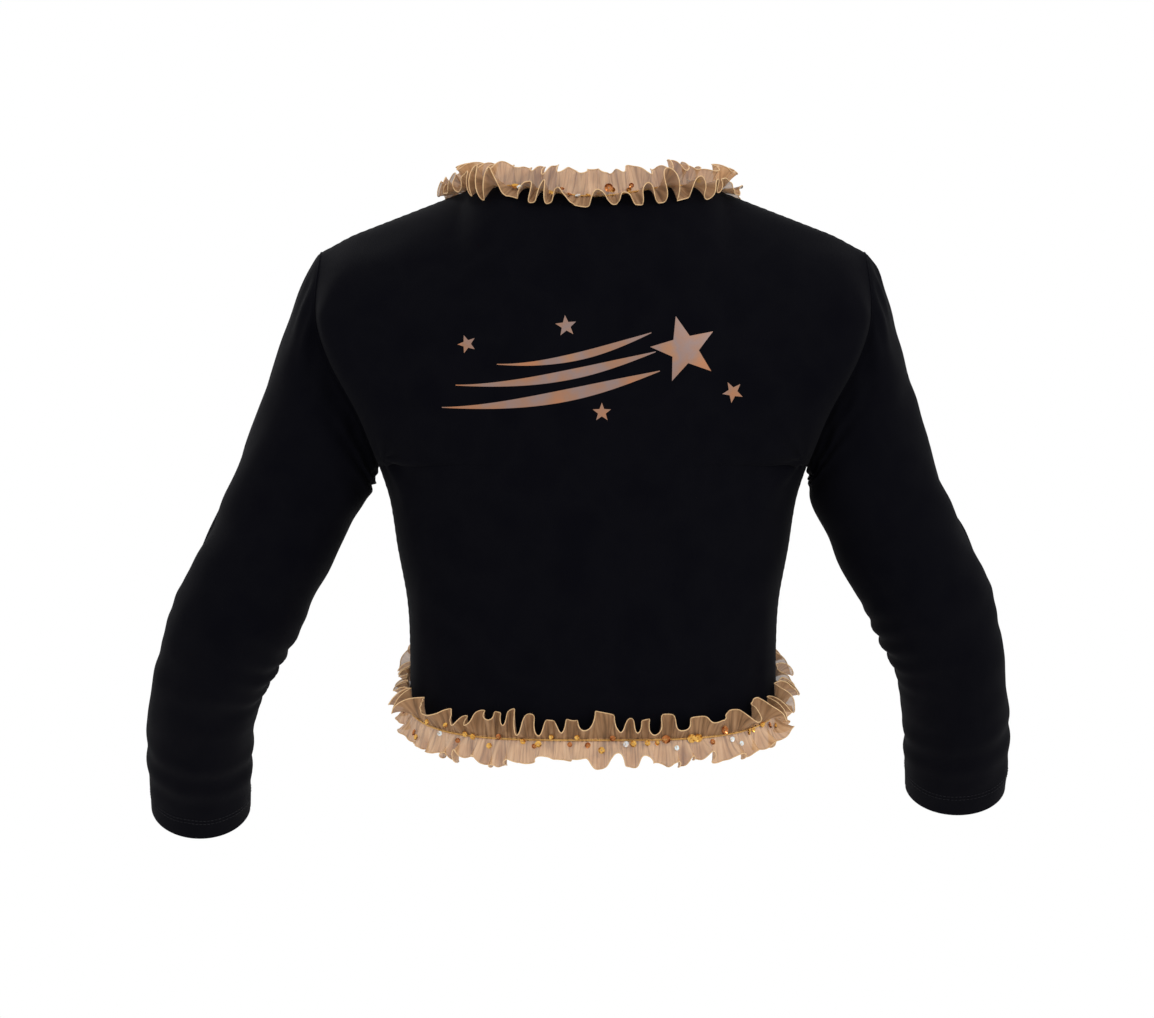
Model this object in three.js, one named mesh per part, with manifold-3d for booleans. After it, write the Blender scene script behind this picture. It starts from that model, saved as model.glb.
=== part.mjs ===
// Cropped stretch-knit warm-up jacket of a cheer uniform: a back panel, two cutaway fronts whose edges fold
// open, long sleeves in two sections each, a gathered frill round every body edge, sequins and a foil motif.
// Millimetres, +Z up. The front of the garment faces -Y, so the wearer's left is +X.
// The origin is the centre of the neck opening, at shoulder height.
import * as THREE from "three";
import { mergeVertices } from "three/addons/utils/BufferGeometryUtils.js";
import Module from "manifold-3d";

const wasm = await Module();
wasm.setup();

// ---- driving dimensions ----
const FABRIC = 1.6; // wall of every knit panel
const SEAM_GAP = 0.3; // half the clearance along a seam between two panels
const LAYER_GAP = 0.5; // clearance between a panel and what is sewn on it

const NECK_HALF_WIDTH = 95;
const NECK_BACK_DEPTH = 58; // how far the neck opening reaches behind the shoulder line
const NECK_POINT_Z = 6; // where the neck edge meets the shoulder seam
const NECK_DIP = 9; // how far the centre back neck drops below that point
const NECK_DIP_REACH = 70; // half width of the dip
const SHOULDER_SLOPE = 0.39;
const SHOULDER_TIP_X = 203;
const UNDERARM_Z = -200;
const ARMHOLE_HALF_DEPTH = 50; // half the armhole's size from front to back
const HEM_BACK_Z = -400;
const HEM_RISE = 26; // how far the hem has risen at the side seam
const HEM_RISE_POWER = 1.6;
const SECTION_POWER = 2.3; // body sections are superellipses, slightly squarer than ellipses
const ROLL_POWER = 2.5; // how late the back and the fronts roll over to the shoulder
const ARMHOLE_SPREAD = 5; // how closely the armhole's fullness keeps to the armhole

const FOLD_TOP = { x: 82, z: -85 }; // the line that each front folds open along
const FOLD_LOW_X = 100;
const FRONT_BOW = 46; // how far the front edge bows past the fold line
const FRONT_BOW_SKEW = 0.6; // below 1 the bow is fullest low down
const NECKLINE_CURL = 2.4;
const FLAP_SHORTENING = 0.045; // share of the fold line left clear at each end of a flap
const FOLD_OFFSET = 11; // the folding axis lies this far in front of the line's ends

const RUFFLE_HALF_WIDTH = 19;
const RUFFLE_WAVE = 20;
const RUFFLE_THICKNESS = 1;
const RUFFLE_DEPTH = 5; // half the wave's depth at the frill's free edges
const GATHER_DEPTH = 0.4; // and at the gathered middle
const GATHER_CORD_RADIUS = 1;
const THREAD_RADIUS = 0.4;
const SEQUIN_RADIUS = 3;
const SEQUIN_THICKNESS = 0.8;
const SEQUIN_PITCH = 34;
const SEQUIN_SIDES = 6;
const CORD_CLEARANCE = 0.4; // between a frill's gathered middle and its cord
const NECK_CORD_CLEARANCE = 2; // more at the neck, where the frill is bent inwards along its middle

const TAPE_THICKNESS = 1;
const TAPE_GAP = 0.7; // clearance between the back panel and the neck tape
const LABEL = { width: 28, height: 30, thickness: 0.6 };
const SHOULDER_TAPE_WIDTH = 7;
const SHOULDER_TAPE_CAMBER = 0.28; // slope of each half of the tape, which follows the ridge of the shoulder
const CUFF_HEM_WIDTH = 20;
const CUFF_HEM_THICKNESS = 1.2;
const ELBOW_AT = 0.6; // share of the sleeve's length above the elbow
const FOIL_THICKNESS = 0.4;
const FOIL_LIFT = 0.65;

// Body half width at each height, up the side seam and then up the armhole seam.
const SIDE_EDGE = [
  [-400, 137],
  [-337, 137],
  [-300, 139],
  [-262, 146],
  [-225, 152],
  [-200, 160],
  [-163, 174],
  [-121, 196],
  [-89, 205],
  [-36.1, SHOULDER_TIP_X],
];
// Body half depth at each height.
const BODY_DEPTH = [
  [-400, 90],
  [-300, 95],
  [-180, 102],
  [-90, 100],
  [0, 96],
];
// Sleeve radius at each share of its length.
const SLEEVE_RADIUS = [
  [0, 53],
  [0.2, 50],
  [0.35, 47],
  [0.55, 46],
  [0.66, 42.5],
  [0.8, 41],
  [0.92, 39.5],
  [1, 38.5],
];
// Sleeve centrelines, measured outwards from the body: the two arms are bent a little differently.
const SLEEVE_LINES = {
  left: [
    [183, 0, -118],
    [202, 0, -172],
    [226, 0, -226],
    [260, -3, -298],
    [281, -17, -338],
    [295, -42, -376],
    [301, -69, -412],
    [304, -108, -462],
  ],
  right: [
    [183, 0, -118],
    [199, 0, -172],
    [216, 0, -226],
    [251, -3, -298],
    [266, -15, -338],
    [274, -35, -374],
    [278, -56, -408],
    [279, -80, -444],
  ],
};

const COLOURS = {
  knit: { color: 0x0a0a0f, roughness: 0.9, metalness: 0 },
  organza: { color: 0xbe966e, roughness: 0.6, metalness: 0 },
  cord: { color: 0xb98a45, roughness: 0.4, metalness: 0.6 },
  sequin: { color: 0xd2a650, roughness: 0.2, metalness: 0.8 },
  foil: { color: 0x8d6b57, roughness: 0.35, metalness: 0.6 },
  tape: { color: 0x16161c, roughness: 0.8, metalness: 0 },
  label: { color: 0x202026, roughness: 0.7, metalness: 0 },
};

const BACK = 1;
const FRONT = -1;
const SIDES = { left: 1, right: -1 };
const vec = (x, y, z) => new THREE.Vector3(x, y, z);
const mix = THREE.MathUtils.lerp;
const clamp = THREE.MathUtils.clamp;

// A smooth function through [at, value] pairs in rising order.
function profile(pairs) {
  return (at) => {
    const last = pairs.length - 2;
    const i = clamp(pairs.findIndex(([a]) => a > at) - 1, 0, last);
    const k = at >= pairs[last + 1][0] ? last : i;
    const [a0, v0] = pairs[k];
    const [a1, v1] = pairs[k + 1];
    const slope = (m) => {
      const lo = pairs[Math.max(m - 1, 0)];
      const hi = pairs[Math.min(m + 1, last + 1)];
      return (hi[1] - lo[1]) / (hi[0] - lo[0]);
    };
    const t = clamp((at - a0) / (a1 - a0), 0, 1);
    const span = a1 - a0;
    const rise = (2 * t ** 3 - 3 * t ** 2 + 1) * v0 + (3 * t ** 2 - 2 * t ** 3) * v1;
    return rise + (t ** 3 - 2 * t ** 2 + t) * span * slope(k) + (t ** 3 - t ** 2) * span * slope(k + 1);
  };
}

const sideX = profile(SIDE_EDGE);
const depthAt = profile(BODY_DEPTH);
const sleeveRadius = profile(SLEEVE_RADIUS);

// ---- the body's surface ----
const shoulderZ = (x) => NECK_POINT_Z - SHOULDER_SLOPE * (Math.abs(x) - NECK_HALF_WIDTH);
const SHOULDER_TIP_Z = shoulderZ(SHOULDER_TIP_X);

// Height of the upper edge, over the neck and along the shoulder.
function topZ(x, face) {
  const out = Math.abs(x);
  if (out >= NECK_HALF_WIDTH) return shoulderZ(x);
  if (face === FRONT) return NECK_POINT_Z;
  const rise = Math.sin((Math.PI / 2) * Math.min(1, out / NECK_DIP_REACH)) ** 2;
  return NECK_POINT_Z - NECK_DIP * (1 - rise);
}

// How far the armhole seam lies from the shoulder line, to front or back, at a height.
function armholeY(z) {
  const t = clamp((SHOULDER_TIP_Z - z) / (SHOULDER_TIP_Z - UNDERARM_Z), 0, 1);
  return 2 * ARMHOLE_HALF_DEPTH * Math.sqrt(t * (1 - t));
}

// A point of the outer surface. f is the share of the half width, from -1 to 1.
function bodyPoint(face, f, z) {
  const share = Math.min(1, Math.abs(f));
  const x = sideX(z) * f;
  const h = clamp((z - UNDERARM_Z) / (topZ(x, face) - UNDERARM_Z), 0, 1);
  const roll = Math.sqrt(1 - h ** ROLL_POWER);
  const low = depthAt(z) * (1 - share ** SECTION_POWER) ** (1 / SECTION_POWER);
  const inNeck = Math.min(1, Math.abs(x) / NECK_HALF_WIDTH);
  const high = face === BACK ? NECK_BACK_DEPTH * Math.sqrt(1 - inNeck ** 2) : 0;
  const y = mix(high, low, roll) + armholeY(z) * share ** ARMHOLE_SPREAD;
  return vec(x, face * y, z);
}

function bodyNormal(face, f, z) {
  const width = sideX(z);
  const a = clamp(f, -0.99, 0.99);
  const b = Math.min(z, topZ(width * f, face) - 1.5);
  const across = bodyPoint(face, a + 0.005, b).sub(bodyPoint(face, a - 0.005, b));
  const along = bodyPoint(face, a, b + 0.7).sub(bodyPoint(face, a, b - 0.7));
  return along.cross(across).multiplyScalar(face).normalize();
}

function offBody(face, f, z, lift) {
  return bodyPoint(face, f, z).addScaledVector(bodyNormal(face, f, z), lift);
}

// Share of the half width and height of the hem, by the angle round the body from the centre back.
const hemShare = (angle) => Math.abs(Math.sin(angle)) ** (2 / SECTION_POWER);
const hemZ = (angle) => HEM_BACK_Z + HEM_RISE * (1 - Math.cos(angle)) ** HEM_RISE_POWER;

const foldLowSine = (FOLD_LOW_X / SIDE_EDGE[0][1]) ** (SECTION_POWER / 2);
const FOLD_LOW_ANGLE = Math.PI - Math.asin(foldLowSine);
const FOLD_LOW_Z = hemZ(FOLD_LOW_ANGLE);
const foldX = (z) => mix(FOLD_LOW_X, FOLD_TOP.x, (z - FOLD_LOW_Z) / (FOLD_TOP.z - FOLD_LOW_Z));

// Front edge: bowed below the top of the fold line, and curling out to the neck point above it.
function frontEdgeX(z) {
  if (z > FOLD_TOP.z) {
    const t = (z - FOLD_TOP.z) / (NECK_POINT_Z - FOLD_TOP.z);
    return mix(FOLD_TOP.x, NECK_HALF_WIDTH, 1 - (1 - t) ** NECKLINE_CURL);
  }
  const q = (z - FOLD_LOW_Z) / (FOLD_TOP.z - FOLD_LOW_Z);
  return foldX(z) - FRONT_BOW * Math.sin(Math.PI * clamp(q, 0, 1) ** FRONT_BOW_SKEW);
}

// ---- solids from mapped three.js shapes ----
// Moves every vertex of a closed shape through map, welds it, and turns its faces outwards.
function mapped(shape, map) {
  const geometry = shape.clone();
  geometry.deleteAttribute("normal");
  geometry.deleteAttribute("uv");
  const at = geometry.getAttribute("position");
  for (let i = 0; i < at.count; i++) {
    const p = map(vec(at.getX(i), at.getY(i), at.getZ(i)));
    at.setXYZ(i, p.x, p.y, p.z);
  }
  const welded = mergeVertices(geometry, 1e-3);
  if (signedVolume(welded) < 0) {
    const index = Array.from(welded.index.array);
    for (let i = 0; i < index.length; i += 3) [index[i], index[i + 1]] = [index[i + 1], index[i]];
    welded.setIndex(index);
  }
  return welded;
}

function signedVolume(geometry) {
  const at = geometry.getAttribute("position");
  const index = geometry.index.array;
  const corner = (i) => vec(0, 0, 0).fromBufferAttribute(at, index[i]);
  let volume = 0;
  for (let i = 0; i < index.length; i += 3) volume += corner(i).dot(corner(i + 1).cross(corner(i + 2)));
  return volume;
}

// Splits each square of a box's last face along its other diagonal, so that it folds as the face opposite does.
function turnDiagonals(box) {
  const { index } = box;
  const { start, count } = box.groups.at(-1);
  for (let i = start; i < start + count; i += 6) {
    const [a, b, d, c] = [0, 1, 2, 4].map((k) => index.getX(i + k));
    [a, b, c, a, c, d].forEach((corner, k) => index.setX(i + k, corner));
  }
}

// A sheet of columns by rows: map takes column and row from 0 to 1, and 0 or 1 for its inner or outer face.
function sheet(columns, rows, map) {
  const box = new THREE.BoxGeometry(1, 1, 1, columns, rows, 1);
  turnDiagonals(box);
  return mapped(box, (p) => map(p.x + 0.5, p.y + 0.5, Math.round(p.z + 0.5)));
}

// A tube's wall: map takes the angle round it, the share of its length, and 0 or 1 for inner or outer face.
function sleeveWall(around, steps, map) {
  const ring = [];
  for (let i = 0; i <= steps; i++) ring.push(new THREE.Vector2(2, i / steps));
  for (let i = steps; i >= 0; i--) ring.push(new THREE.Vector2(1, i / steps));
  ring.push(ring[0].clone());
  const lathe = new THREE.LatheGeometry(ring, around);
  return mapped(lathe, (p) => map(Math.atan2(p.x, p.z), p.y, Math.round(Math.hypot(p.x, p.z) - 1)));
}

function toSolid(geometry) {
  const bare = geometry.clone();
  bare.deleteAttribute("normal");
  bare.deleteAttribute("uv");
  const welded = mergeVertices(bare, 1e-4);
  const triVerts = new Uint32Array(welded.index.array);
  const vertProperties = new Float32Array(welded.attributes.position.array);
  return new wasm.Manifold(new wasm.Mesh({ numProp: 3, vertProperties, triVerts }));
}

function fromSolid(solid) {
  const { vertProperties, triVerts } = solid.getMesh();
  const geometry = new THREE.BufferGeometry();
  geometry.setAttribute("position", new THREE.BufferAttribute(vertProperties, 3));
  geometry.setIndex(new THREE.BufferAttribute(triVerts, 1));
  return geometry;
}

const root = new THREE.Group();
function add(name, look, geometry) {
  const mesh = new THREE.Mesh(geometry, new THREE.MeshStandardMaterial(COLOURS[look]));
  mesh.name = name;
  root.add(mesh);
}

// ---- panels ----
const ARMHOLE_ROWS = 8;
const SIDE_ROWS = 7;
const ROWS = ARMHOLE_ROWS + SIDE_ROWS;
const NECK_COLUMNS = 6;
const SHOULDER_COLUMNS = 4;
const HALF_COLUMNS = NECK_COLUMNS + SHOULDER_COLUMNS;
const FRONT_COLUMNS = 7;
const SLEEVE_SIDES = 2 * ARMHOLE_ROWS;

// Share of the armhole's height, with rows closest together at its two ends.
const armholeShare = (w) => (1 - Math.cos(Math.PI * w)) / 2;

// Where each row lies: below 0 it is the share from hem to underarm, less 1; above 0 it is up the armhole.
const rowPlace = (v) => {
  const row = v * ROWS - SIDE_ROWS;
  return row <= 0 ? row / SIDE_ROWS : row / ARMHOLE_ROWS;
};

// Height in a column that runs from lowZ through the underarm's level to highZ.
function rowZ(place, lowZ, highZ) {
  if (place <= 0) return mix(UNDERARM_Z, lowZ, -place);
  return mix(UNDERARM_Z, highZ, armholeShare(place));
}

// A point of a seam between back and front, whose wall has no thickness towards the other panel.
function seamPoint(face, f, z, lift) {
  const normal = bodyNormal(face, f, z);
  normal.y = 0;
  const p = bodyPoint(face, f, z).addScaledVector(normal.normalize(), lift);
  p.y += face * SEAM_GAP;
  return p;
}

function backColumn(j, place) {
  const angle = (Math.PI / 2) * (j / HALF_COLUMNS);
  const inNeck = j <= NECK_COLUMNS;
  const neckX = NECK_HALF_WIDTH * Math.sin((Math.PI / 2) * Math.min(1, j / NECK_COLUMNS));
  const shoulderShare = (j - NECK_COLUMNS) / SHOULDER_COLUMNS;
  const topX = inNeck ? neckX : mix(NECK_HALF_WIDTH, SHOULDER_TIP_X, shoulderShare);
  const ease = THREE.MathUtils.smoothstep(place, 0, 1);
  const f = mix(hemShare(angle), topX / SHOULDER_TIP_X, ease);
  return { f, z: rowZ(place, hemZ(angle), topZ(topX, BACK)) };
}

function backPanel() {
  return sheet(2 * HALF_COLUMNS, ROWS, (u, v, outer) => {
    const column = Math.round((u - 0.5) * 2 * HALF_COLUMNS);
    const place = rowPlace(v);
    const { f, z } = backColumn(Math.abs(column), place);
    const onSeam = Math.abs(column) === HALF_COLUMNS && place <= 0;
    const onShoulder = place === 1 && Math.abs(column) >= NECK_COLUMNS;
    const make = onSeam || onShoulder ? seamPoint : offBody;
    return make(BACK, Math.sign(column) * f, z, outer ? 0 : -FABRIC);
  });
}

// The fixed part of a front, from the fold line and the neckline out to the side seam and the armhole.
function frontPanel(side) {
  return sheet(FRONT_COLUMNS, ROWS, (u, v, outer) => {
    const place = rowPlace(v);
    const innerZ = rowZ(place, FOLD_LOW_Z, NECK_POINT_Z);
    const innerX = innerZ > FOLD_TOP.z ? frontEdgeX(innerZ) : foldX(innerZ);
    const innerAngle = Math.asin((innerX / sideX(innerZ)) ** (SECTION_POWER / 2));
    const angle = mix(innerAngle, Math.PI / 2, u);
    const lowZ = hemZ(Math.PI - mix(Math.PI - FOLD_LOW_ANGLE, Math.PI / 2, u));
    const topShare = mix(NECK_HALF_WIDTH, SHOULDER_TIP_X, u);
    const z = rowZ(place, lowZ, shoulderZ(topShare));
    const ease = THREE.MathUtils.smoothstep(place, 0, 1);
    const f = mix(hemShare(angle), topShare / SHOULDER_TIP_X, ease ** 2);
    const edge = u === 0 && innerZ <= FOLD_TOP.z + 1;
    const share = u === 0 ? innerX / sideX(innerZ) : f;
    const make = (u === 1 && place <= 0) || place === 1 ? seamPoint : offBody;
    const p = make(FRONT, share, u === 0 ? innerZ : z, outer ? 0 : -FABRIC);
    if (edge) p.x += SEAM_GAP;
    p.x *= side;
    return p;
  });
}

// The part of a front that folds open, between the fold line and the bowed front edge.
function frontFlap(side) {
  return sheet(4, 9, (u, v, outer) => {
    const q = mix(FLAP_SHORTENING, 1 - FLAP_SHORTENING, v);
    const z = mix(FOLD_LOW_Z, FOLD_TOP.z, q);
    const x = mix(frontEdgeX(z), foldX(z) - SEAM_GAP, u);
    const p = offBody(FRONT, x / sideX(z), z, outer ? 0 : -FABRIC);
    p.x *= side;
    return p;
  });
}

// ---- sleeves ----
// The armhole seam, by angle round it from the shoulder tip, first to the back and then to the front.
function armholePoint(angle) {
  const z = mix(SHOULDER_TIP_Z, UNDERARM_Z, (1 - Math.cos(angle)) / 2);
  return vec(sideX(z), ARMHOLE_HALF_DEPTH * Math.sin(angle), z);
}

const sleeveCurve = (name) => new THREE.CatmullRomCurve3(SLEEVE_LINES[name].map((p) => vec(...p)));

// Centre, outward and backward directions of a sleeve at a share of its length.
function sleeveFrame(curve, s) {
  const centre = curve.getPointAt(s);
  const along = curve.getTangentAt(s);
  const back = vec(0, 1, 0).addScaledVector(along, -along.y).normalize();
  const out = along.clone().cross(back).normalize();
  return { centre, along, back, out };
}

// Shares of the length between which the armhole's shape turns into a round sleeve.
const CAP_FROM = 0.05;
const CAP_TO = 0.36;
const CAP_CLEARANCE = 0.7; // between the sleeve cap and the panels' armhole edges

function sleevePoint(curve, angle, s, inset) {
  const { centre, back, out } = sleeveFrame(curve, s);
  const radial = out.clone().multiplyScalar(Math.cos(angle)).addScaledVector(back, Math.sin(angle));
  const round = centre.clone().addScaledVector(radial, sleeveRadius(s) - inset);
  const armhole = armholePoint(angle);
  const inward = vec(armhole.x, 0, mix(SHOULDER_TIP_Z, UNDERARM_Z, 0.5)).sub(armhole);
  inward.x = 0;
  armhole.addScaledVector(inward.normalize(), inset);
  armhole.addScaledVector(vec(1, 0, -0.26).normalize(), CAP_CLEARANCE);
  // The armhole's shape travels down the arm, fastest on the outside and slowest at the underarm.
  armhole.addScaledVector(centre.clone().sub(curve.points[0]), 0.7 + 0.3 * Math.cos(angle));
  return armhole.lerp(round, THREE.MathUtils.smoothstep(s, CAP_FROM, CAP_TO));
}

const UPPER_STEPS = 9;
const LOWER_STEPS = 6;

function sleeveTube(curve, side, from, to, steps, outerInset, thickness) {
  return sleeveWall(SLEEVE_SIDES, steps, (angle, v, outer) => {
    const inset = outerInset + (outer ? 0 : thickness);
    const p = sleevePoint(curve, angle, mix(from, to, v), inset);
    p.x *= side;
    return p;
  });
}

// ---- edge trims ----
// A point of a front's edge, on the wearer's left (side 1) or right (side -1).
function frontEdgePoint(z, x, side) {
  const p = bodyPoint(FRONT, x / sideX(z), z);
  p.x *= side;
  return p;
}

function necklineZ(t) {
  return mix(FOLD_TOP.z + 7, NECK_POINT_Z, t);
}

function neckCourse() {
  const steps = 6;
  const front = (side) => {
    const list = [];
    for (let i = 0; i < steps; i++) {
      const z = necklineZ(Math.sin((Math.PI / 2) * (i / steps)));
      list.push(frontEdgePoint(z, frontEdgeX(z), side));
    }
    return list;
  };
  const ring = [];
  for (let i = 0; i <= 2 * steps; i++) {
    const angle = (Math.PI / 2) * (1 - i / steps);
    const x = NECK_HALF_WIDTH * Math.sin(angle);
    ring.push(vec(x, NECK_BACK_DEPTH * Math.cos(angle), topZ(x, BACK)));
  }
  return new THREE.CatmullRomCurve3([...front(1), ...ring, ...front(-1).reverse()]);
}

const HEM_END_MARGIN = 0.1; // radians of hem left clear beside each fold line

function hemCourse() {
  const steps = 24;
  const reach = FOLD_LOW_ANGLE - HEM_END_MARGIN;
  const list = [];
  for (let i = 0; i <= steps; i++) {
    const angle = mix(reach, -reach, i / steps);
    const face = Math.abs(angle) < Math.PI / 2 ? BACK : FRONT;
    const z = hemZ(angle);
    list.push(bodyPoint(face, Math.sign(angle) * hemShare(angle), z));
  }
  return new THREE.CatmullRomCurve3(list);
}

const flapShare = (t) => mix(FLAP_SHORTENING + 0.005, 1 - FLAP_SHORTENING - 0.005, t);

function flapCourse(side) {
  const steps = 14;
  const list = [];
  for (let i = 0; i <= steps; i++) {
    const t = (1 - Math.cos((Math.PI * i) / steps)) / 2;
    const z = mix(FOLD_LOW_Z, FOLD_TOP.z, flapShare(t));
    list.push(frontEdgePoint(z, frontEdgeX(z), side));
  }
  return new THREE.CatmullRomCurve3(list);
}

// Level direction away from the body at a point of an edge: the neck is a small ellipse, the body a large one.
function levelOut(p) {
  const inNeckRing = p.z > NECK_POINT_Z - NECK_DIP - 1 && p.y > -1;
  const width = inNeckRing ? NECK_HALF_WIDTH : sideX(p.z);
  const depth = inNeckRing ? NECK_BACK_DEPTH : depthAt(p.z);
  return vec(p.x / width ** 2, p.y / depth ** 2, 0).normalize();
}

// Outward normal of the cloth under a point of an edge. Near the neck point it is that of the shoulder.
function clothOut(p) {
  const face = p.y >= 0 ? BACK : FRONT;
  const normal = bodyNormal(face, p.x / sideX(p.z), p.z);
  if (p.z < NECK_POINT_Z - NECK_DIP - 1 || p.y < -1) return normal;
  const shoulder = vec(Math.sign(p.x) * SHOULDER_SLOPE, 0, 1).normalize();
  return normal.lerp(shoulder, THREE.MathUtils.smoothstep(Math.abs(p.x) / NECK_HALF_WIDTH, 0.4, 0.9)).normalize();
}

// Axes of a trim at a share of its course. inner points over the cloth, and outer past its edge.
function trimAxes(course, s, edgeSign) {
  const at = course.getPointAt(s);
  const along = course.getTangentAt(s);
  const level = levelOut(at);
  const cloth = clothOut(at);
  const outer = along.clone().cross(level).multiplyScalar(edgeSign).normalize();
  const inner = along.clone().cross(cloth).multiplyScalar(-edgeSign).normalize();
  const lift = cloth.clone().add(level).normalize();
  return { at, level, cloth, outer, inner, lift };
}

const waveDepth = (c) => mix(GATHER_DEPTH, RUFFLE_DEPTH, Math.abs(c) / RUFFLE_HALF_WIDTH);
const ruffleMiddle = (c) => LAYER_GAP + RUFFLE_THICKNESS / 2 + waveDepth(c);

// A gathered strip along a course: flat width at any place is limited by innerLimit on the cloth's side.
function ruffle(course, edgeSign, innerLimit) {
  const waves = Math.round(course.getLength() / RUFFLE_WAVE);
  const columns = 4 * waves;
  return sheet(columns, 2, (u, v, outerFace) => {
    const { at, level, cloth, outer, inner, lift } = trimAxes(course, u, edgeSign);
    const side = 2 * v - 1;
    const reach = side < 0 ? Math.min(RUFFLE_HALF_WIDTH, innerLimit(u)) : RUFFLE_HALF_WIDTH;
    const c = Math.abs(side) * reach;
    const wave = waveDepth(c) * Math.sin(2 * Math.PI * waves * u + Math.PI / 4);
    const raise = ruffleMiddle(c) + wave + (outerFace ? 0.5 : -0.5) * RUFFLE_THICKNESS;
    const away = side === 0 ? lift : side < 0 ? cloth : level;
    return at
      .clone()
      .addScaledVector(side < 0 ? inner : outer, c)
      .addScaledVector(away, raise);
  });
}

const cordHeight = (clearance) =>
  LAYER_GAP + RUFFLE_THICKNESS + 2 * GATHER_DEPTH + clearance + GATHER_CORD_RADIUS;
const STRAND_OVER_CORD = GATHER_CORD_RADIUS + LAYER_GAP + THREAD_RADIUS;

// The course lifted off the cloth, as a new curve that stops short of the course's ends.
function liftedCourse(course, edgeSign, height, margin) {
  const steps = Math.round(course.getLength() / 12);
  const list = [];
  for (let i = 0; i <= steps; i++) {
    const { at, lift } = trimAxes(course, mix(margin, 1 - margin, i / steps), edgeSign);
    list.push(at.clone().addScaledVector(lift, height));
  }
  return new THREE.CatmullRomCurve3(list);
}

function roundShape(radius, sides) {
  const shape = new THREE.Shape();
  for (let i = 0; i < sides; i++) {
    const a = (2 * Math.PI * i) / sides;
    if (i) shape.lineTo(radius * Math.cos(a), radius * Math.sin(a));
    else shape.moveTo(radius, 0);
  }
  shape.closePath();
  return shape;
}

function cordAlong(curve, radius, sides, step) {
  const steps = Math.round(curve.getLength() / step);
  return new THREE.ExtrudeGeometry(roundShape(radius, sides), { steps, extrudePath: curve });
}

const END_MARGIN = 0.006;
const FLAP_TRIM_MARGIN = 7; // how far a flap's frill stays short of the fold line

function gatherCord(course, edgeSign, height) {
  const curve = liftedCourse(course, edgeSign, height, END_MARGIN);
  return cordAlong(curve, GATHER_CORD_RADIUS, 5, 12);
}

// Sequins threaded on one strand, so that they and their thread are one piece.
function sequinStrand(course, edgeSign, height) {
  const curve = liftedCourse(course, edgeSign, height, 2 * END_MARGIN);
  let strand = toSolid(cordAlong(curve, THREAD_RADIUS, 3, 14));
  const count = Math.floor(curve.getLength() / SEQUIN_PITCH);
  for (let i = 0; i < count; i++) {
    const s = (i + 0.5) / count;
    const at = curve.getPointAt(s);
    const along = curve.getTangentAt(s);
    const out = trimAxes(course, s, edgeSign).lift;
    const face = out.addScaledVector(along, -out.dot(along)).normalize();
    const disc = new THREE.CylinderGeometry(SEQUIN_RADIUS, SEQUIN_RADIUS * 0.75, SEQUIN_THICKNESS, SEQUIN_SIDES);
    const turn = new THREE.Quaternion().setFromUnitVectors(vec(0, 1, 0), face);
    disc.applyQuaternion(turn);
    disc.translate(at.x, at.y, at.z);
    strand = strand.add(toSolid(disc));
  }
  return fromSolid(strand);
}

function addTrim(name, course, edgeSign, innerLimit, clearance) {
  const height = cordHeight(clearance);
  add(name + "_ruffle", "organza", ruffle(course, edgeSign, innerLimit));
  add(name + "_gather_cord", "cord", gatherCord(course, edgeSign, height));
  add(name + "_sequin_strand", "sequin", sequinStrand(course, edgeSign, height + STRAND_OVER_CORD));
}

// ---- inside the neck and the shoulders ----
// The neck tape covers the back panel's top row.
const TAPE_LOW_PLACE = 1 - 1 / ARMHOLE_ROWS;

function neckTape() {
  const half = NECK_COLUMNS - 1;
  return sheet(2 * half, 1, (u, v, outer) => {
    const column = Math.round((u - 0.5) * 2 * half);
    const { f, z } = backColumn(Math.abs(column), v === 1 ? 1 : TAPE_LOW_PLACE);
    return offBody(BACK, Math.sign(column) * f, z, -FABRIC - TAPE_GAP - (outer ? 0 : TAPE_THICKNESS));
  });
}

function sizeLabel() {
  return sheet(2, 3, (u, v, outer) => {
    const x = (u - 0.5) * LABEL.width;
    const z = backColumn(0, TAPE_LOW_PLACE).z - LAYER_GAP - LABEL.height * (1 - v);
    const depth = FABRIC + 2 * LAYER_GAP + SEAM_GAP + (outer ? 0 : LABEL.thickness);
    return offBody(BACK, x / sideX(z), z, -depth);
  });
}

function shoulderTape(side) {
  return sheet(3, 2, (u, v, outer) => {
    const x = mix(NECK_HALF_WIDTH + 6, SHOULDER_TIP_X - 8, u);
    const y = (v - 0.5) * SHOULDER_TAPE_WIDTH;
    const under = 1.15 * FABRIC + LAYER_GAP + (outer ? 0 : TAPE_THICKNESS);
    return vec(side * x, y, shoulderZ(x) - under - SHOULDER_TAPE_CAMBER * Math.abs(y));
  });
}

// ---- foil motif on the back: a shooting star ----
const onBack = (x, z, lift) => offBody(BACK, x / sideX(z), z, lift);

function foilStar({ x, z, radius, turn }) {
  const plate = new THREE.CylinderGeometry(1, 1, 1, 10);
  return mapped(plate, (p) => {
    const point = Math.round((Math.atan2(p.x, p.z) * 10) / (2 * Math.PI));
    const reach = Math.hypot(p.x, p.z) * radius * (point % 2 ? 0.42 : 1);
    const angle = (point * Math.PI) / 5 + turn;
    const lift = FOIL_LIFT + (p.y > 0 ? FOIL_THICKNESS : 0);
    return onBack(x + reach * Math.sin(angle), z + reach * Math.cos(angle), lift);
  });
}

function foilTail({ from, to, width, sag }) {
  return sheet(12, 1, (u, v, outer) => {
    const x = mix(from[0], to[0], u);
    const middle = mix(from[1], to[1], u ** 1.5) - sag * Math.sin(Math.PI * u);
    const w = 1 + (width - 1) * Math.sin(Math.PI * u ** 1.3);
    return onBack(x, middle + (v - 0.5) * w, FOIL_LIFT + (outer ? FOIL_THICKNESS : 0));
  });
}

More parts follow.
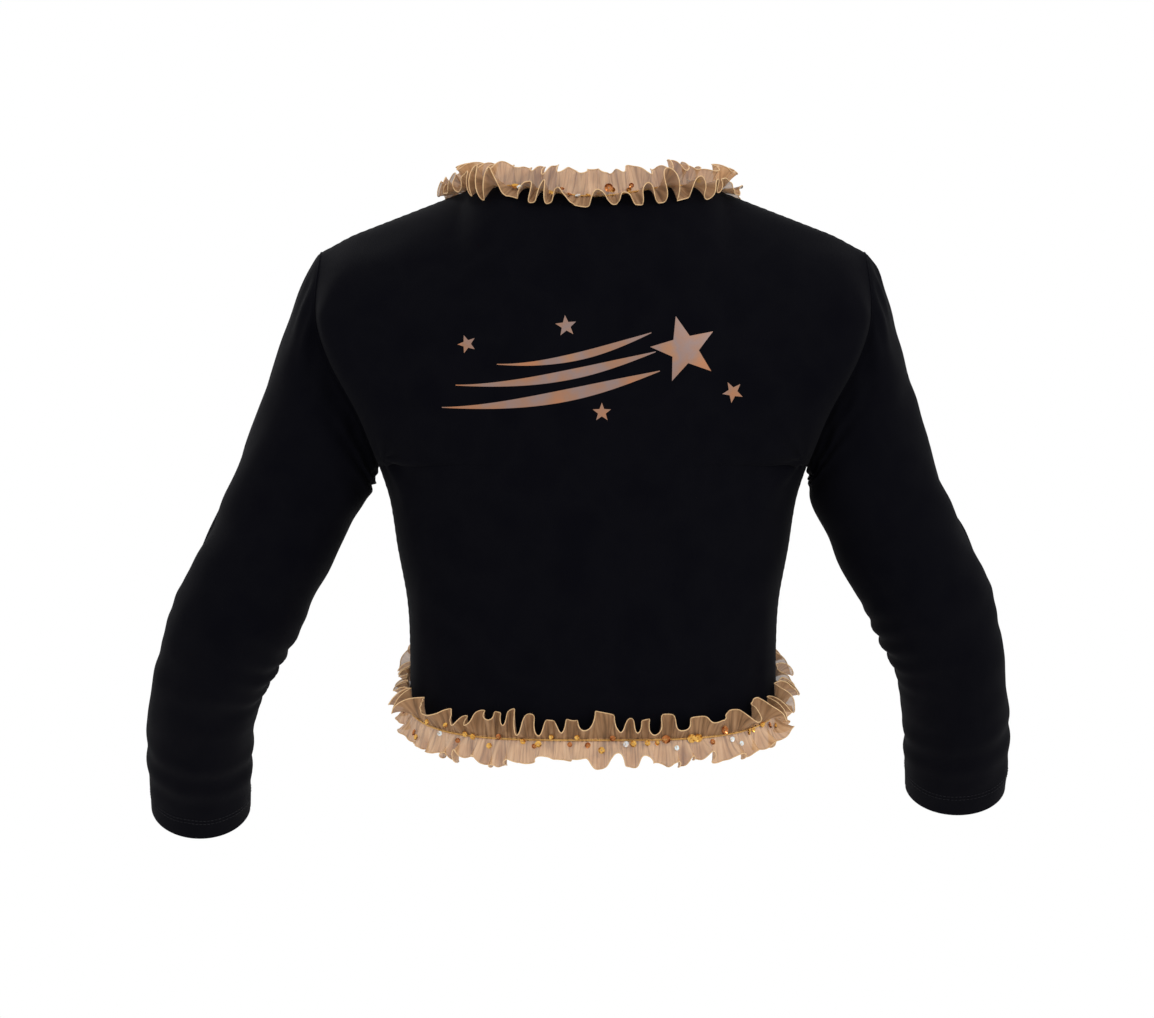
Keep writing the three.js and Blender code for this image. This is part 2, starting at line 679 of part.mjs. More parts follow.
const FOIL_STARS = [
  { x: -66, z: -116, radius: 25, turn: 0.25 },
  { x: 20, z: -99, radius: 8, turn: 0.1 },
  { x: -101, z: -147, radius: 8, turn: 0.5 },
  { x: -6, z: -162, radius: 7, turn: 0 },
  { x: 92, z: -112, radius: 7, turn: 0.35 },
];
const FOIL_TAILS = [
  { from: [110, -158], to: [-48, -132], width: 9, sag: 3 },
  { from: [100, -142], to: [-45, -118], width: 7.5, sag: 3 },
  { from: [70, -127], to: [-42, -104], width: 6, sag: 3 },
];

// ---- assembly ----
add("back_panel", "knit", backPanel());
add("neck_tape", "tape", neckTape());
add("size_label", "label", sizeLabel());
FOIL_STARS.forEach((star, i) => add(i ? `foil_small_star_${i}` : "foil_large_star", "foil", foilStar(star)));
FOIL_TAILS.forEach((tail, i) => add(`foil_tail_${i + 1}`, "foil", foilTail(tail)));

const joints = {};
const unlimited = () => RUFFLE_HALF_WIDTH;
for (const [name, side] of Object.entries(SIDES)) {
  add(`${name}_front_panel`, "knit", frontPanel(side));
  add(`${name}_front_flap`, "knit", frontFlap(side));
  add(`${name}_shoulder_tape`, "tape", shoulderTape(side));

  const curve = sleeveCurve(name);
  const gap = SEAM_GAP / curve.getLength();
  const hemFrom = 1 - CUFF_HEM_WIDTH / curve.getLength();
  const hemInset = FABRIC + LAYER_GAP;
  add(`${name}_upper_sleeve`, "knit", sleeveTube(curve, side, 0, ELBOW_AT - gap, UPPER_STEPS, 0, FABRIC));
  add(`${name}_lower_sleeve`, "knit", sleeveTube(curve, side, ELBOW_AT + gap, 1, LOWER_STEPS, 0, FABRIC));
  add(`${name}_cuff_hem`, "knit", sleeveTube(curve, side, hemFrom, 1, 1, hemInset, CUFF_HEM_THICKNESS));

  const flapLimit = (u) => {
    const z = mix(FOLD_LOW_Z, FOLD_TOP.z, flapShare(u));
    return Math.max(3, foldX(z) - frontEdgeX(z) - FLAP_TRIM_MARGIN);
  };
  const course = flapCourse(side);
  addTrim(`${name}_front`, course, -side, (u) => flapLimit(flapHeight(course, u)), CORD_CLEARANCE);

  joints[`${name}_shoulder`] = {
    pos: [side * SHOULDER_TIP_X, 0, SHOULDER_TIP_Z],
    axis: [0, -side, 0],
  };
  const { centre, back, out } = sleeveFrame(curve, ELBOW_AT);
  const crease = centre.clone().addScaledVector(back, -sleeveRadius(ELBOW_AT));
  joints[`${name}_elbow`] = {
    pos: [side * crease.x, crease.y, crease.z],
    axis: [-out.x, -side * out.y, -side * out.z],
  };
  const top = frontEdgePoint(FOLD_TOP.z, FOLD_TOP.x, side);
  const low = frontEdgePoint(FOLD_LOW_Z, FOLD_LOW_X, side);
  const forward = levelOut(top).add(levelOut(low)).normalize();
  const axis = top.clone().sub(low).normalize().multiplyScalar(side);
  const middle = top.clone().lerp(low, 0.5).addScaledVector(forward, FOLD_OFFSET);
  joints[`${name}_front_fold`] = { pos: middle.toArray(), axis: axis.toArray() };
}

// Share of the fold line's height at a share of a flap course's length.
function flapHeight(course, u) {
  const z = course.getPointAt(u).z;
  const t = (z - FOLD_LOW_Z) / (FOLD_TOP.z - FOLD_LOW_Z);
  return (t - flapShare(0)) / (flapShare(1) - flapShare(0));
}

addTrim("neck", neckCourse(), -1, unlimited, NECK_CORD_CLEARANCE);
addTrim("hem", hemCourse(), 1, unlimited, CORD_CLEARANCE);

// Axes of the joints, for whoever moves the model.
root.userData.joints = joints;

export default root;
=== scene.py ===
import math

import bmesh
import bpy
import numpy as np
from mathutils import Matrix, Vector


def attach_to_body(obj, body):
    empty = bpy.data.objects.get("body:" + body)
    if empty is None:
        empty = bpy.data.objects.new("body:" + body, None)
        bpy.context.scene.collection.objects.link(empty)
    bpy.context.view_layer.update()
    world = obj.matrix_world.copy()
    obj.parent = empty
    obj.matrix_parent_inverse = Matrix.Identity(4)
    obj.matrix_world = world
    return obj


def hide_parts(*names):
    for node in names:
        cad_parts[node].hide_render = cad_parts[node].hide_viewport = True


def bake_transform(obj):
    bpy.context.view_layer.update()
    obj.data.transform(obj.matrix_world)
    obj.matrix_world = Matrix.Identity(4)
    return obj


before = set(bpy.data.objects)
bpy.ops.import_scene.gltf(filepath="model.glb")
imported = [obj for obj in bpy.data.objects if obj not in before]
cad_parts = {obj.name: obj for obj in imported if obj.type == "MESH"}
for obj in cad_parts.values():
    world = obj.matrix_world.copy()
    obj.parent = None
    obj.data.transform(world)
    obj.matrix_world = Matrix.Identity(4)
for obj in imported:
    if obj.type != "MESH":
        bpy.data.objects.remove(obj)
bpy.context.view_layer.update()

MM = 0.001
PI = math.pi
BACK, FRONT = 1, -1
SIDES = {"left": 1, "right": -1}

NECK_HALF_WIDTH, NECK_BACK_DEPTH, NECK_POINT_Z, NECK_DIP = 95, 58, 6, 9
SHOULDER_SLOPE, SHOULDER_TIP_X, UNDERARM_Z = 0.39, 203, -200
SHOULDER_TIP_Z = NECK_POINT_Z - SHOULDER_SLOPE * (SHOULDER_TIP_X - NECK_HALF_WIDTH)
HEM_Z, HEM_RISE = -400, 26
SECTION = 2.3
FOLD_TOP_X, FOLD_TOP_Z, FOLD_LOW_X, FRONT_BOW = 82, -85, 100, 46
ELBOW_AT = 0.6
SLEEVE_CUT = 0.46  # where the sleeve's upper cloth meets its lower cloth
CAP_ROWS, ARM_ROWS = 75, 130  # rows of points down the two cloths, which share the row at the cut
ARMHOLE_HALF_DEPTH = 50
CUFF_BAND = 20
JERSEY = 0.8
FRILL = 19  # half the width of the frill's strip
GATHERING = 1.75  # length of a frill's flat strip over that of the edge it is gathered on

SIDE_EDGE = [(-400, 137), (-337, 137), (-300, 139), (-262, 146), (-225, 152), (-200, 160),
             (-163, 174), (-121, 196), (-89, 205), (-36.1, 203)]
BODY_DEPTH = [(-400, 90), (-300, 95), (-180, 102), (-90, 100), (0, 96)]
SLEEVE_RADIUS = [(0, 53), (0.2, 50), (0.35, 47), (0.55, 46), (0.66, 42.5), (0.8, 41), (0.92, 39.5), (1, 38.5)]
SLEEVE_LINES = {
    "left": [(183, 0, -118), (202, 0, -172), (226, 0, -226), (260, -3, -298),
             (281, -17, -338), (295, -42, -376), (301, -69, -412), (304, -108, -462)],
    "right": [(183, 0, -118), (199, 0, -172), (216, 0, -226), (251, -3, -298),
              (266, -15, -338), (274, -35, -374), (278, -56, -408), (279, -80, -444)],
}


# ---- small maths ----
def unit(v):
    return v / np.maximum(np.linalg.norm(v, axis=-1, keepdims=True), 1e-9)


def mix(a, b, t):
    return a + (b - a) * t


def smooth(x, low, high):
    t = np.clip((np.asarray(x, float) - low) / (high - low), 0, 1)
    return t * t * (3 - 2 * t)


def profile(pairs):
    at, value = np.array(pairs, float).T
    index = np.arange(len(at))
    low, high = np.maximum(index - 1, 0), np.minimum(index + 1, len(at) - 1)
    slope = (value[high] - value[low]) / (at[high] - at[low])

    def read(x):
        x = np.asarray(x, float)
        k = np.clip(np.searchsorted(at, x, side="right") - 1, 0, len(at) - 2)
        span = at[k + 1] - at[k]
        t = np.clip((x - at[k]) / span, 0, 1)
        rise = (2 * t**3 - 3 * t**2 + 1) * value[k] + (3 * t**2 - 2 * t**3) * value[k + 1]
        return rise + (t**3 - 2 * t**2 + t) * span * slope[k] + (t**3 - t**2) * span * slope[k + 1]

    return read


side_x, depth_at, sleeve_radius = profile(SIDE_EDGE), profile(BODY_DEPTH), profile(SLEEVE_RADIUS)


def swell(points, size, seed, count=7):
    """Smooth random bumps, about as wide as size, mostly between -1 and 1."""
    rng = np.random.default_rng(seed)
    total = 0
    for _ in range(count):
        direction = rng.normal(size=3)
        wave = direction / np.linalg.norm(direction) * rng.uniform(0.7, 1.4) * 2 * PI / size
        total = total + np.sin(points @ wave + rng.uniform(0, 2 * PI))
    return total / math.sqrt(count)


class Curve:
    """A centripetal Catmull-Rom curve, read by share of its length."""

    def __init__(self, points, per=24):
        p = np.array(points, float)
        p = np.vstack([2 * p[0] - p[1], p, 2 * p[-1] - p[-2]])
        t = np.linspace(0, 1, per, endpoint=False)[:, None]
        parts = []
        for i in range(1, len(p) - 2):
            x0, x1, x2, x3 = p[i - 1 : i + 3]
            d0, d1, d2 = (max(np.linalg.norm(b - a), 1e-6) ** 0.5 for a, b in ((x0, x1), (x1, x2), (x2, x3)))
            t1 = ((x1 - x0) / d0 - (x2 - x0) / (d0 + d1) + (x2 - x1) / d1) * d1
            t2 = ((x2 - x1) / d1 - (x3 - x1) / (d1 + d2) + (x3 - x2) / d2) * d1
            square, cube = 3 * (x2 - x1) - 2 * t1 - t2, 2 * (x1 - x2) + t1 + t2
            parts.append(x1 + t1 * t + square * t**2 + cube * t**3)
        self.line = np.vstack([*parts, p[-2:-1]])
        steps = np.linalg.norm(np.diff(self.line, axis=0), axis=1)
        self.run = np.r_[0, np.cumsum(steps)]
        self.length = self.run[-1]

    def at(self, share):
        where = np.asarray(share, float) * self.length
        return np.stack([np.interp(where, self.run, self.line[:, k]) for k in range(3)], -1)

    def along(self, share):
        step = 3 / self.length
        share = np.asarray(share, float)
        return unit(self.at(np.minimum(1, share + step)) - self.at(np.maximum(0, share - step)))


# ---- the jacket's surface ----
def shoulder_z(x):
    return NECK_POINT_Z - SHOULDER_SLOPE * (np.abs(x) - NECK_HALF_WIDTH)


def top_z(x, face):
    out = np.abs(x)
    rise = np.sin(PI / 2 * np.minimum(1, out / 70)) ** 2
    inside = np.where(np.asarray(face) > 0, NECK_POINT_Z - NECK_DIP * (1 - rise), NECK_POINT_Z)
    return np.where(out >= NECK_HALF_WIDTH, shoulder_z(x), inside)


def armhole_y(z):
    t = np.clip((SHOULDER_TIP_Z - z) / (SHOULDER_TIP_Z - UNDERARM_Z), 0, 1)
    return 100 * np.sqrt(t * (1 - t))


def body(face, f, z):
    share = np.minimum(1, np.abs(f))
    x = side_x(z) * f
    h = np.clip((z - UNDERARM_Z) / (top_z(x, face) - UNDERARM_Z), 0, 1)
    roll = np.sqrt(1 - h**2.5)
    low = depth_at(z) * (1 - share**SECTION) ** (1 / SECTION)
    ring = NECK_BACK_DEPTH * np.sqrt(1 - np.minimum(1, np.abs(x) / NECK_HALF_WIDTH) ** 2)
    y = mix(np.where(np.asarray(face) > 0, ring, 0), low, roll) + armhole_y(z) * share**5
    return np.stack([x, face * y, z + 0 * x], -1)


def body_normal(face, f, z):
    a = np.clip(f, -0.99, 0.99)
    b = np.minimum(z, top_z(side_x(z) * f, face) - 1.5)
    across = body(face, a + 0.005, b) - body(face, a - 0.005, b)
    up = body(face, a, b + 0.7) - body(face, a, b - 0.7)
    return unit(np.cross(up, across) * np.asarray(face, float)[..., None])


def hem_share(angle):
    return np.abs(np.sin(angle)) ** (2 / SECTION)


def hem_z(angle):
    return HEM_Z + HEM_RISE * (1 - np.cos(angle)) ** 1.6


FOLD_LOW_ANGLE = PI - math.asin((FOLD_LOW_X / 137) ** (SECTION / 2))
FOLD_LOW_Z = float(hem_z(FOLD_LOW_ANGLE))


def fold_x(z):
    return mix(FOLD_LOW_X, FOLD_TOP_X, (z - FOLD_LOW_Z) / (FOLD_TOP_Z - FOLD_LOW_Z))


def front_edge_x(z):
    z = np.asarray(z, float)
    t = np.clip((z - FOLD_TOP_Z) / (NECK_POINT_Z - FOLD_TOP_Z), 0, 1)
    q = np.clip((z - FOLD_LOW_Z) / (FOLD_TOP_Z - FOLD_LOW_Z), 0, 1)
    neckline = mix(FOLD_TOP_X, NECK_HALF_WIDTH, 1 - (1 - t) ** 2.4)
    return np.where(z > FOLD_TOP_Z, neckline, fold_x(z) - FRONT_BOW * np.sin(PI * q**0.6))


def row_z(place, low, high):
    share = (1 - np.cos(PI * np.maximum(place, 0))) / 2
    return np.where(place <= 0, mix(UNDERARM_Z, low, -place), mix(UNDERARM_Z, high, share))


def creases(p):
    """Height of the cloth's soft folds over the smooth body."""
    total = 0.75 * swell(p, 120, 1) + 0.3 * swell(p, 45, 2)
    for side in (1, -1):
        away = p - np.array([side * 156, 0, -196])
        far = np.linalg.norm(away * [1, 0.6, 1], axis=-1)
        turn = np.arctan2(away[..., 2], -side * away[..., 0])
        total = total + 1.7 * np.exp(-((far / 62) ** 1.4)) * np.sin(7.5 * turn + 0.03 * far + side)
        pull = p - np.array([side * 150, 60 * np.sign(1), -120])
        far = np.linalg.norm(pull * [1, 0.4, 0.45], axis=-1)
        total = total + 0.9 * np.exp(-((far / 38) ** 2)) * np.sin(pull[..., 0] / 6.5 + pull[..., 2] / 40)
    waist = smooth(-p[..., 2], 300, 392)
    total = total + 0.8 * waist * swell(p * [1, 1, 0.18], 30, 4)
    return total


def near_edges(face, f, z):
    """0 at a panel's seams and edges, and 1 away from them."""
    top = top_z(side_x(z) * f, face)
    return smooth(1 - np.abs(f), 0, 0.09) * smooth(top - z, 1, 26) * smooth(z, -400, -372)


def cloth(face, f, z, lift=0.0):
    p, n = body(face, f, z), body_normal(face, f, z)
    high = creases(p) * near_edges(face, f, z)
    return p + n * (high + lift)[..., None], n


def settle(p):
    """The shoulders' ends drop softly where nothing holds the cloth up."""
    out = smooth(np.abs(p[..., 0]), 176, 208) * smooth(p[..., 2], -120, -36)
    return p - np.stack([0 * out, 0 * out, 3.6 * out], -1)


# ---- meshes ----
def grid(rows, cols, wrap=False):
    r, c = np.meshgrid(np.arange(rows - 1), np.arange(cols if wrap else cols - 1), indexing="ij")
    r, c = r.ravel(), c.ravel()
    d = (c + 1) % cols
    return np.stack([r * cols + c, r * cols + d, (r + 1) * cols + d, (r + 1) * cols + c], 1)


def run_uv(p):
    """Lengths along the rows and up the columns of a grid of points, in millimetres."""
    u = np.r_[0, np.cumsum(np.linalg.norm(np.diff(p, axis=1), axis=-1).mean(0))]
    v = np.r_[0, np.cumsum(np.linalg.norm(np.diff(p, axis=0), axis=-1).mean(1))]
    return np.stack(np.meshgrid(u, v), -1).reshape(-1, 2)


def facing(points, quads, normals):
    """The quads, turned over if they face against the normals."""
    a, b, c = (points[quads[:, k]] for k in (0, 1, 2))
    agree = (np.cross(b - a, c - a) * normals[quads[:, 0]]).sum()
    return quads if agree > 0 else quads[:, ::-1]


def mesh_object(name, points, faces, material, uv=None, slots=None, sharp=None, merge=False):
    mesh = bpy.data.meshes.new(name)
    mesh.from_pydata((settle(np.asarray(points)) * MM).tolist(), [], [list(map(int, f)) for f in faces])
    for m in material if isinstance(material, list) else [material]:
        mesh.materials.append(m)
    mesh.polygons.foreach_set("use_smooth", np.ones(len(mesh.polygons), bool))
    if slots is not None:
        mesh.polygons.foreach_set("material_index", np.asarray(slots, np.int32))
    if uv is not None:
        corner = np.empty(len(mesh.loops), np.int32)
        mesh.loops.foreach_get("vertex_index", corner)
        layer = mesh.uv_layers.new(name="UVMap")
        layer.data.foreach_set("uv", (np.asarray(uv)[corner] * MM * 10).astype(np.float32).ravel())
    if merge:
        work = bmesh.new()
        work.from_mesh(mesh)
        bmesh.ops.remove_doubles(work, verts=work.verts, dist=2e-5)
        work.to_mesh(mesh)
        work.free()
    if sharp:
        mesh.set_sharp_from_angle(angle=math.radians(sharp))
    mesh.update()
    made = bpy.data.objects.new(name, mesh)
    bpy.context.collection.objects.link(made)
    return made


def shell(name, p, normals, thick, material, wrap=False, keep=None, merge=False):
    """A closed sheet: p is its outer face as a grid of points, and keep tells which squares are cloth."""
    rows, cols = p.shape[:2]
    outer, n = p.reshape(-1, 3), normals.reshape(-1, 3)
    quads = grid(rows, cols, wrap)
    if keep is not None:
        quads = quads[keep.ravel()]
    quads = facing(outer, quads, n)
    count = len(outer)
    edges = np.vstack([quads[:, [0, 1]], quads[:, [1, 2]], quads[:, [2, 3]], quads[:, [3, 0]]])
    code = edges[:, 0] * count + edges[:, 1]
    lone = ~np.isin(code, edges[:, 1] * count + edges[:, 0])
    a, b = edges[lone].T
    rim = np.stack([b, a, a + count, b + count], 1)
    faces = np.vstack([quads, quads[:, ::-1] + count, rim])
    uv = run_uv(p)
    points = np.vstack([outer, outer - n * thick])
    return mesh_object(name, points, faces, material, np.vstack([uv, uv]), sharp=50, merge=merge)


def grid_normals(p, wrap=False):
    up = np.gradient(p, axis=0)
    across = np.roll(p, -1, 1) - np.roll(p, 1, 1) if wrap else np.gradient(p, axis=1)
    return unit(np.cross(across, up))


def tube_parts(path, radius, sides=6, closed=False, squash=1.0, hint=None):
    """Points and quads of a tube along a path."""
    path = np.asarray(path, float)
    along = unit(np.roll(path, -1, 0) - np.roll(path, 1, 0)) if closed else unit(np.gradient(path, axis=0))
    side = np.cross(along, [0.13, 0.21, 1.0] if hint is None else hint)
    side = unit(side)
    other = np.cross(side, along)
    angle = np.linspace(0, 2 * PI, sides, endpoint=False)
    radius = np.broadcast_to(radius, len(path))[:, None, None]
    turn = angle[None, :, None]
    ring = side[:, None] * np.cos(turn) + other[:, None] * np.sin(turn) * squash
    points = path[:, None] + ring * radius
    quads = grid(len(path), sides, True)
    quads = facing(points.reshape(-1, 3), quads, ring.reshape(-1, 3))
    if closed:
        n = len(path)
        last = np.arange(sides)
        quads = np.vstack([quads, np.stack([(n - 1) * sides + last, last, (last + 1) % sides,
                                            (n - 1) * sides + (last + 1) % sides], 1)])
    else:
        quads = [*quads, list(range(sides)), list((len(path) - 1) * sides + np.arange(sides))[::-1]]
    return points.reshape(-1, 3), quads


class Pile:
    """Several small shapes collected into one mesh."""

    def __init__(self):
        self.points, self.faces, self.slots, self.count = [], [], [], 0

    def add(self, points, faces, slot=0):
        self.points.append(np.asarray(points, float))
        self.faces += [[int(i) + self.count for i in f] for f in faces]
        self.slots += [slot] * len(faces)
        self.count += len(points)

    def make(self, name, material, sharp=None):
        return mesh_object(name, np.vstack(self.points), self.faces, material, slots=self.slots, sharp=sharp)


def stitches(pile, path, normals, pitch=3.0, length=2.1, radius=0.22, slot=0):
    """A row of small thread stitches lying on a path."""
    path, normals = np.asarray(path, float), np.asarray(normals, float)
    run = np.r_[0, np.cumsum(np.linalg.norm(np.diff(path, axis=0), axis=1))]
    for start in np.arange(0.5, run[-1] - length, pitch):
        where = start + length * np.array([0, 0.12, 0.5, 0.88, 1])
        at = np.stack([np.interp(where, run, path[:, k]) for k in range(3)], -1)
        up = unit(np.stack([np.interp(where, run, normals[:, k]) for k in range(3)], -1))
        at = at + up * np.array([-0.12, 0.12, 0.2, 0.12, -0.12])[:, None]
        points, quads = tube_parts(at, radius * np.array([0.6, 1, 1, 1, 0.6]), 5)
        pile.add(points, quads, slot)


# ---- materials ----
def linear(*srgb):
    shares = (v / 255 for v in srgb)
    return [c / 12.92 if c <= 0.04045 else ((c + 0.055) / 1.055) ** 2.4 for c in shares] + [1]


def material(name, colour, roughness, metallic=0.0, specular=0.5, alpha=1.0, sheen=0.0):
    made = bpy.data.materials.new(name)
    made.use_nodes = True
    shader = made.node_tree.nodes["Principled BSDF"]
    for key, value in {
        "Base Color": linear(*colour),
        "Roughness": roughness,
        "Metallic": metallic,
        "Specular IOR Level": specular,
        "Alpha": alpha,
        "Sheen Weight": sheen,
    }.items():
        shader.inputs[key].default_value = value
    made.diffuse_color = linear(*colour)
    return made, made.node_tree, shader


def mottled(tree, shader, colours, scale, detail=3.0, source="Object", stretch=None):
    """Colours run into each other over a noise pattern, which may be stretched into streaks."""
    coords = tree.nodes.new("ShaderNodeTexCoord")
    noise = tree.nodes.new("ShaderNodeTexNoise")
    noise.inputs["Scale"].default_value = scale
    noise.inputs["Detail"].default_value = detail
    ramp = tree.nodes.new("ShaderNodeValToRGB")
    for i, (stop, colour) in enumerate(zip(np.linspace(0.32, 0.68, len(colours)), colours)):
        part = ramp.color_ramp.elements[i] if i < 2 else ramp.color_ramp.elements.new(stop)
        part.position, part.color = stop, linear(*colour)
    place = coords.outputs[source]
    if stretch:
        drawn = tree.nodes.new("ShaderNodeMapping")
        drawn.inputs["Scale"].default_value = stretch
        tree.links.new(place, drawn.inputs["Vector"])
        place = drawn.outputs["Vector"]
    tree.links.new(place, noise.inputs["Vector"])
    tree.links.new(noise.outputs["Fac"], ramp.inputs["Fac"])
    tree.links.new(ramp.outputs["Color"], shader.inputs["Base Color"])
    return coords, noise


def bumped(tree, shader, height, strength, distance=0.001):
    bump = tree.nodes.new("ShaderNodeBump")
    bump.inputs["Strength"].default_value = strength
    bump.inputs["Distance"].default_value = distance
    tree.links.new(height, bump.inputs["Height"])
    tree.links.new(bump.outputs["Normal"], shader.inputs["Normal"])


def waves(tree, coords, scale, direction, profile_name="SIN", distortion=0.6):
    wave = tree.nodes.new("ShaderNodeTexWave")
    wave.wave_type, wave.bands_direction, wave.wave_profile = "BANDS", direction, profile_name
    wave.inputs["Scale"].default_value = scale
    wave.inputs["Distortion"].default_value = distortion
    wave.inputs["Detail Scale"].default_value = 2.0
    tree.links.new(coords.outputs["UV"], wave.inputs["Vector"])
    return wave.outputs["Fac"]


def product(tree, a, b):
    node = tree.nodes.new("ShaderNodeMath")
    node.operation = "MULTIPLY"
    tree.links.new(a, node.inputs[0])
    tree.links.new(b, node.inputs[1])
    return node.outputs[0]


def knit_material(name, colours):
    made, tree, shader = material(name, colours[0], 0.9, specular=0.045, sheen=0.006)
    shader.inputs["Sheen Roughness"].default_value = 0.45
    coords, _ = mottled(tree, shader, colours, 24, 4)
    wales = waves(tree, coords, 30, "X")
    courses = waves(tree, coords, 38, "Y")
    bumped(tree, shader, product(tree, wales, courses), 0.25, 0.0004)
    return made


def organza_material(name, colours, alpha, roughness):
    made, tree, shader = material(name, colours[1], roughness, specular=0.35, alpha=alpha, sheen=0.1)
    coords, _ = mottled(tree, shader, colours, 34, 4, "UV", (1, 0.09, 1))
    weave = product(tree, *(waves(tree, coords, 60, way, "TRI", 0.2) for way in "XY"))
    bumped(tree, shader, weave, 0.2, 0.0002)
    return made


def film_material(name, colours, roughness, metallic, scale, specular=0.5, detail=3.0):
    made, tree, shader = material(name, colours[0], roughness, metallic, specular)
    _, noise = mottled(tree, shader, colours, scale, detail)
    bumped(tree, shader, noise.outputs["Fac"], 0.08, 0.0004)
    return made


def thread_material(name, colours, roughness=0.8, metallic=0.0, specular=0.15):
    made, tree, shader = material(name, colours[0], roughness, metallic, specular)
    mottled(tree, shader, colours, 400, 2)
    return made


KNIT = knit_material("black_jersey", [(4, 4, 9), (6, 6, 11), (4, 4, 9)])
BAND = knit_material("black_band", [(5, 5, 10), (7, 7, 12), (5, 5, 10)])
TAPE = thread_material("twill_tape", [(20, 20, 26), (28, 28, 34)])
LABEL = thread_material("satin_label", [(196, 190, 180), (208, 202, 192)], 0.45, 0, 0.4)
THREAD = thread_material("black_thread", [(16, 16, 22), (24, 24, 30)], 0.7, 0, 0.2)
ORGANZA = organza_material("gold_organza", [(120, 88, 58), (166, 126, 88), (190, 150, 110)], 0.77, 0.6)
FULL_ORGANZA = organza_material("gathered_organza",
                                [(150, 112, 76), (196, 152, 108), (212, 172, 130)], 0.9, 0.6)
MERROW = thread_material("gold_edge_thread", [(206, 166, 118), (222, 188, 142)], 0.55, 0.0, 0.4)
YARN = thread_material("gold_yarn", [(196, 146, 74), (226, 184, 112)], 0.4, 0.5, 0.5)
GOLD = film_material("gold_sequin", [(196, 140, 58), (226, 178, 96)], 0.14, 1.0, 300)
COPPER = film_material("copper_sequin", [(150, 86, 46), (190, 122, 72)], 0.18, 1.0, 300)
CLEAR = film_material("clear_sequin", [(236, 226, 232), (214, 234, 236), (244, 220, 206)], 0.12, 0.25, 500)
FOIL = film_material("copper_foil", [(164, 108, 72), (146, 108, 86), (134, 112, 106), (154, 112, 84)],
                     0.42, 0.35, 34, 0.4, 5)


# ---- panels of the body ----
def finish_cloth(nodes, flat, area):
    if nodes:
        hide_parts(*nodes)


def surface_area(p):
    a, b = p[1:, 1:] - p[:-1, :-1], p[1:, :-1] - p[:-1, 1:]
    return float(np.linalg.norm(np.cross(a, b), axis=-1).sum() / 2) * MM * MM


def eased(p, weight, rounds=14):
    """Evens out a grid of points where weight is above 0, leaving its edges alone."""
    w = weight[1:-1, 1:-1, None] * 0.5
    for _ in range(rounds):
        around = (p[1:-1, 2:] + p[1:-1, :-2] + p[2:, 1:-1] + p[:-2, 1:-1]) / 4
        p = p.copy()
        p[1:-1, 1:-1] = mix(p[1:-1, 1:-1], around, w)
    return p


def cut_size(p):
    """Width and length of a narrow strip before it was sewn down."""
    u, v = run_uv(p)[-1] * MM
    return (v, u)


def back_grid(columns, places):
    j = np.abs(columns) * 10
    neck = NECK_HALF_WIDTH * np.sin(PI / 2 * np.minimum(1, j / 6))
    top = np.where(j <= 6, neck, mix(NECK_HALF_WIDTH, SHOULDER_TIP_X, (j - 6) / 4))
    angle = PI / 2 * j / 10
    place = places[:, None]
    ease = smooth(place, 0, 1)
    f = mix(hem_share(angle), top / SHOULDER_TIP_X, ease) * np.sign(columns)
    return f, row_z(place, hem_z(angle), top_z(top, BACK)) + 0 * f


PLACES = np.r_[np.linspace(-1, 0, 52)[:-1], np.linspace(0, 1, 72)]
f, z = back_grid(np.linspace(-1, 1, 141), PLACES)
points, normals = cloth(BACK, f, z)
points = eased(points, smooth(z, -90, -50) * smooth(np.abs(points[..., 0]), 55, 75), 30)
back_cloth = shell("back_cloth", points, normals, JERSEY, KNIT)
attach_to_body(back_cloth, "torso")
finish_cloth(["back_panel"], (0.47, 0.44), surface_area(body(BACK, f, z)))


def front_points(side):
    place = PLACES[:, None]
    inner_z = row_z(place, FOLD_LOW_Z, NECK_POINT_Z)
    inner_x = np.where(inner_z > FOLD_TOP_Z, front_edge_x(inner_z), fold_x(inner_z))
    inner_angle = np.arcsin(np.clip((inner_x / side_x(inner_z)) ** (SECTION / 2), 0, 1))
    u = np.linspace(0, 1, 60)[None, :]
    angle = mix(inner_angle, PI / 2, u)
    low = hem_z(PI - mix(PI - FOLD_LOW_ANGLE, PI / 2, u))
    top = mix(NECK_HALF_WIDTH, SHOULDER_TIP_X, u)
    z = row_z(place, low, shoulder_z(top)) + 0 * u
    ease = smooth(place, 0, 1) ** 2
    f = mix(hem_share(angle), top / SHOULDER_TIP_X, ease)
    f = f + (inner_x / side_x(inner_z) - f[:, :1]) * (1 - smooth(u, 0, 0.16))
    q = np.linspace(0, 1, 17)[None, :-1]
    flap_x = mix(front_edge_x(inner_z), inner_x, q)
    flap_z = inner_z + 0 * q
    f = np.hstack([flap_x / side_x(flap_z), f])
    z = np.hstack([flap_z, z])
    wide = (inner_x - front_edge_x(inner_z))[:, 0]
    keep = np.ones((len(PLACES) - 1, f.shape[1] - 1), bool)
    narrow = np.maximum(wide[1:], wide[:-1]) < 0.05
    keep[narrow, : q.shape[1]] = False
    p, n = cloth(FRONT, f, z)
    return p * [side, 1, 1], n * [side, 1, 1], keep, body(FRONT, f, z)


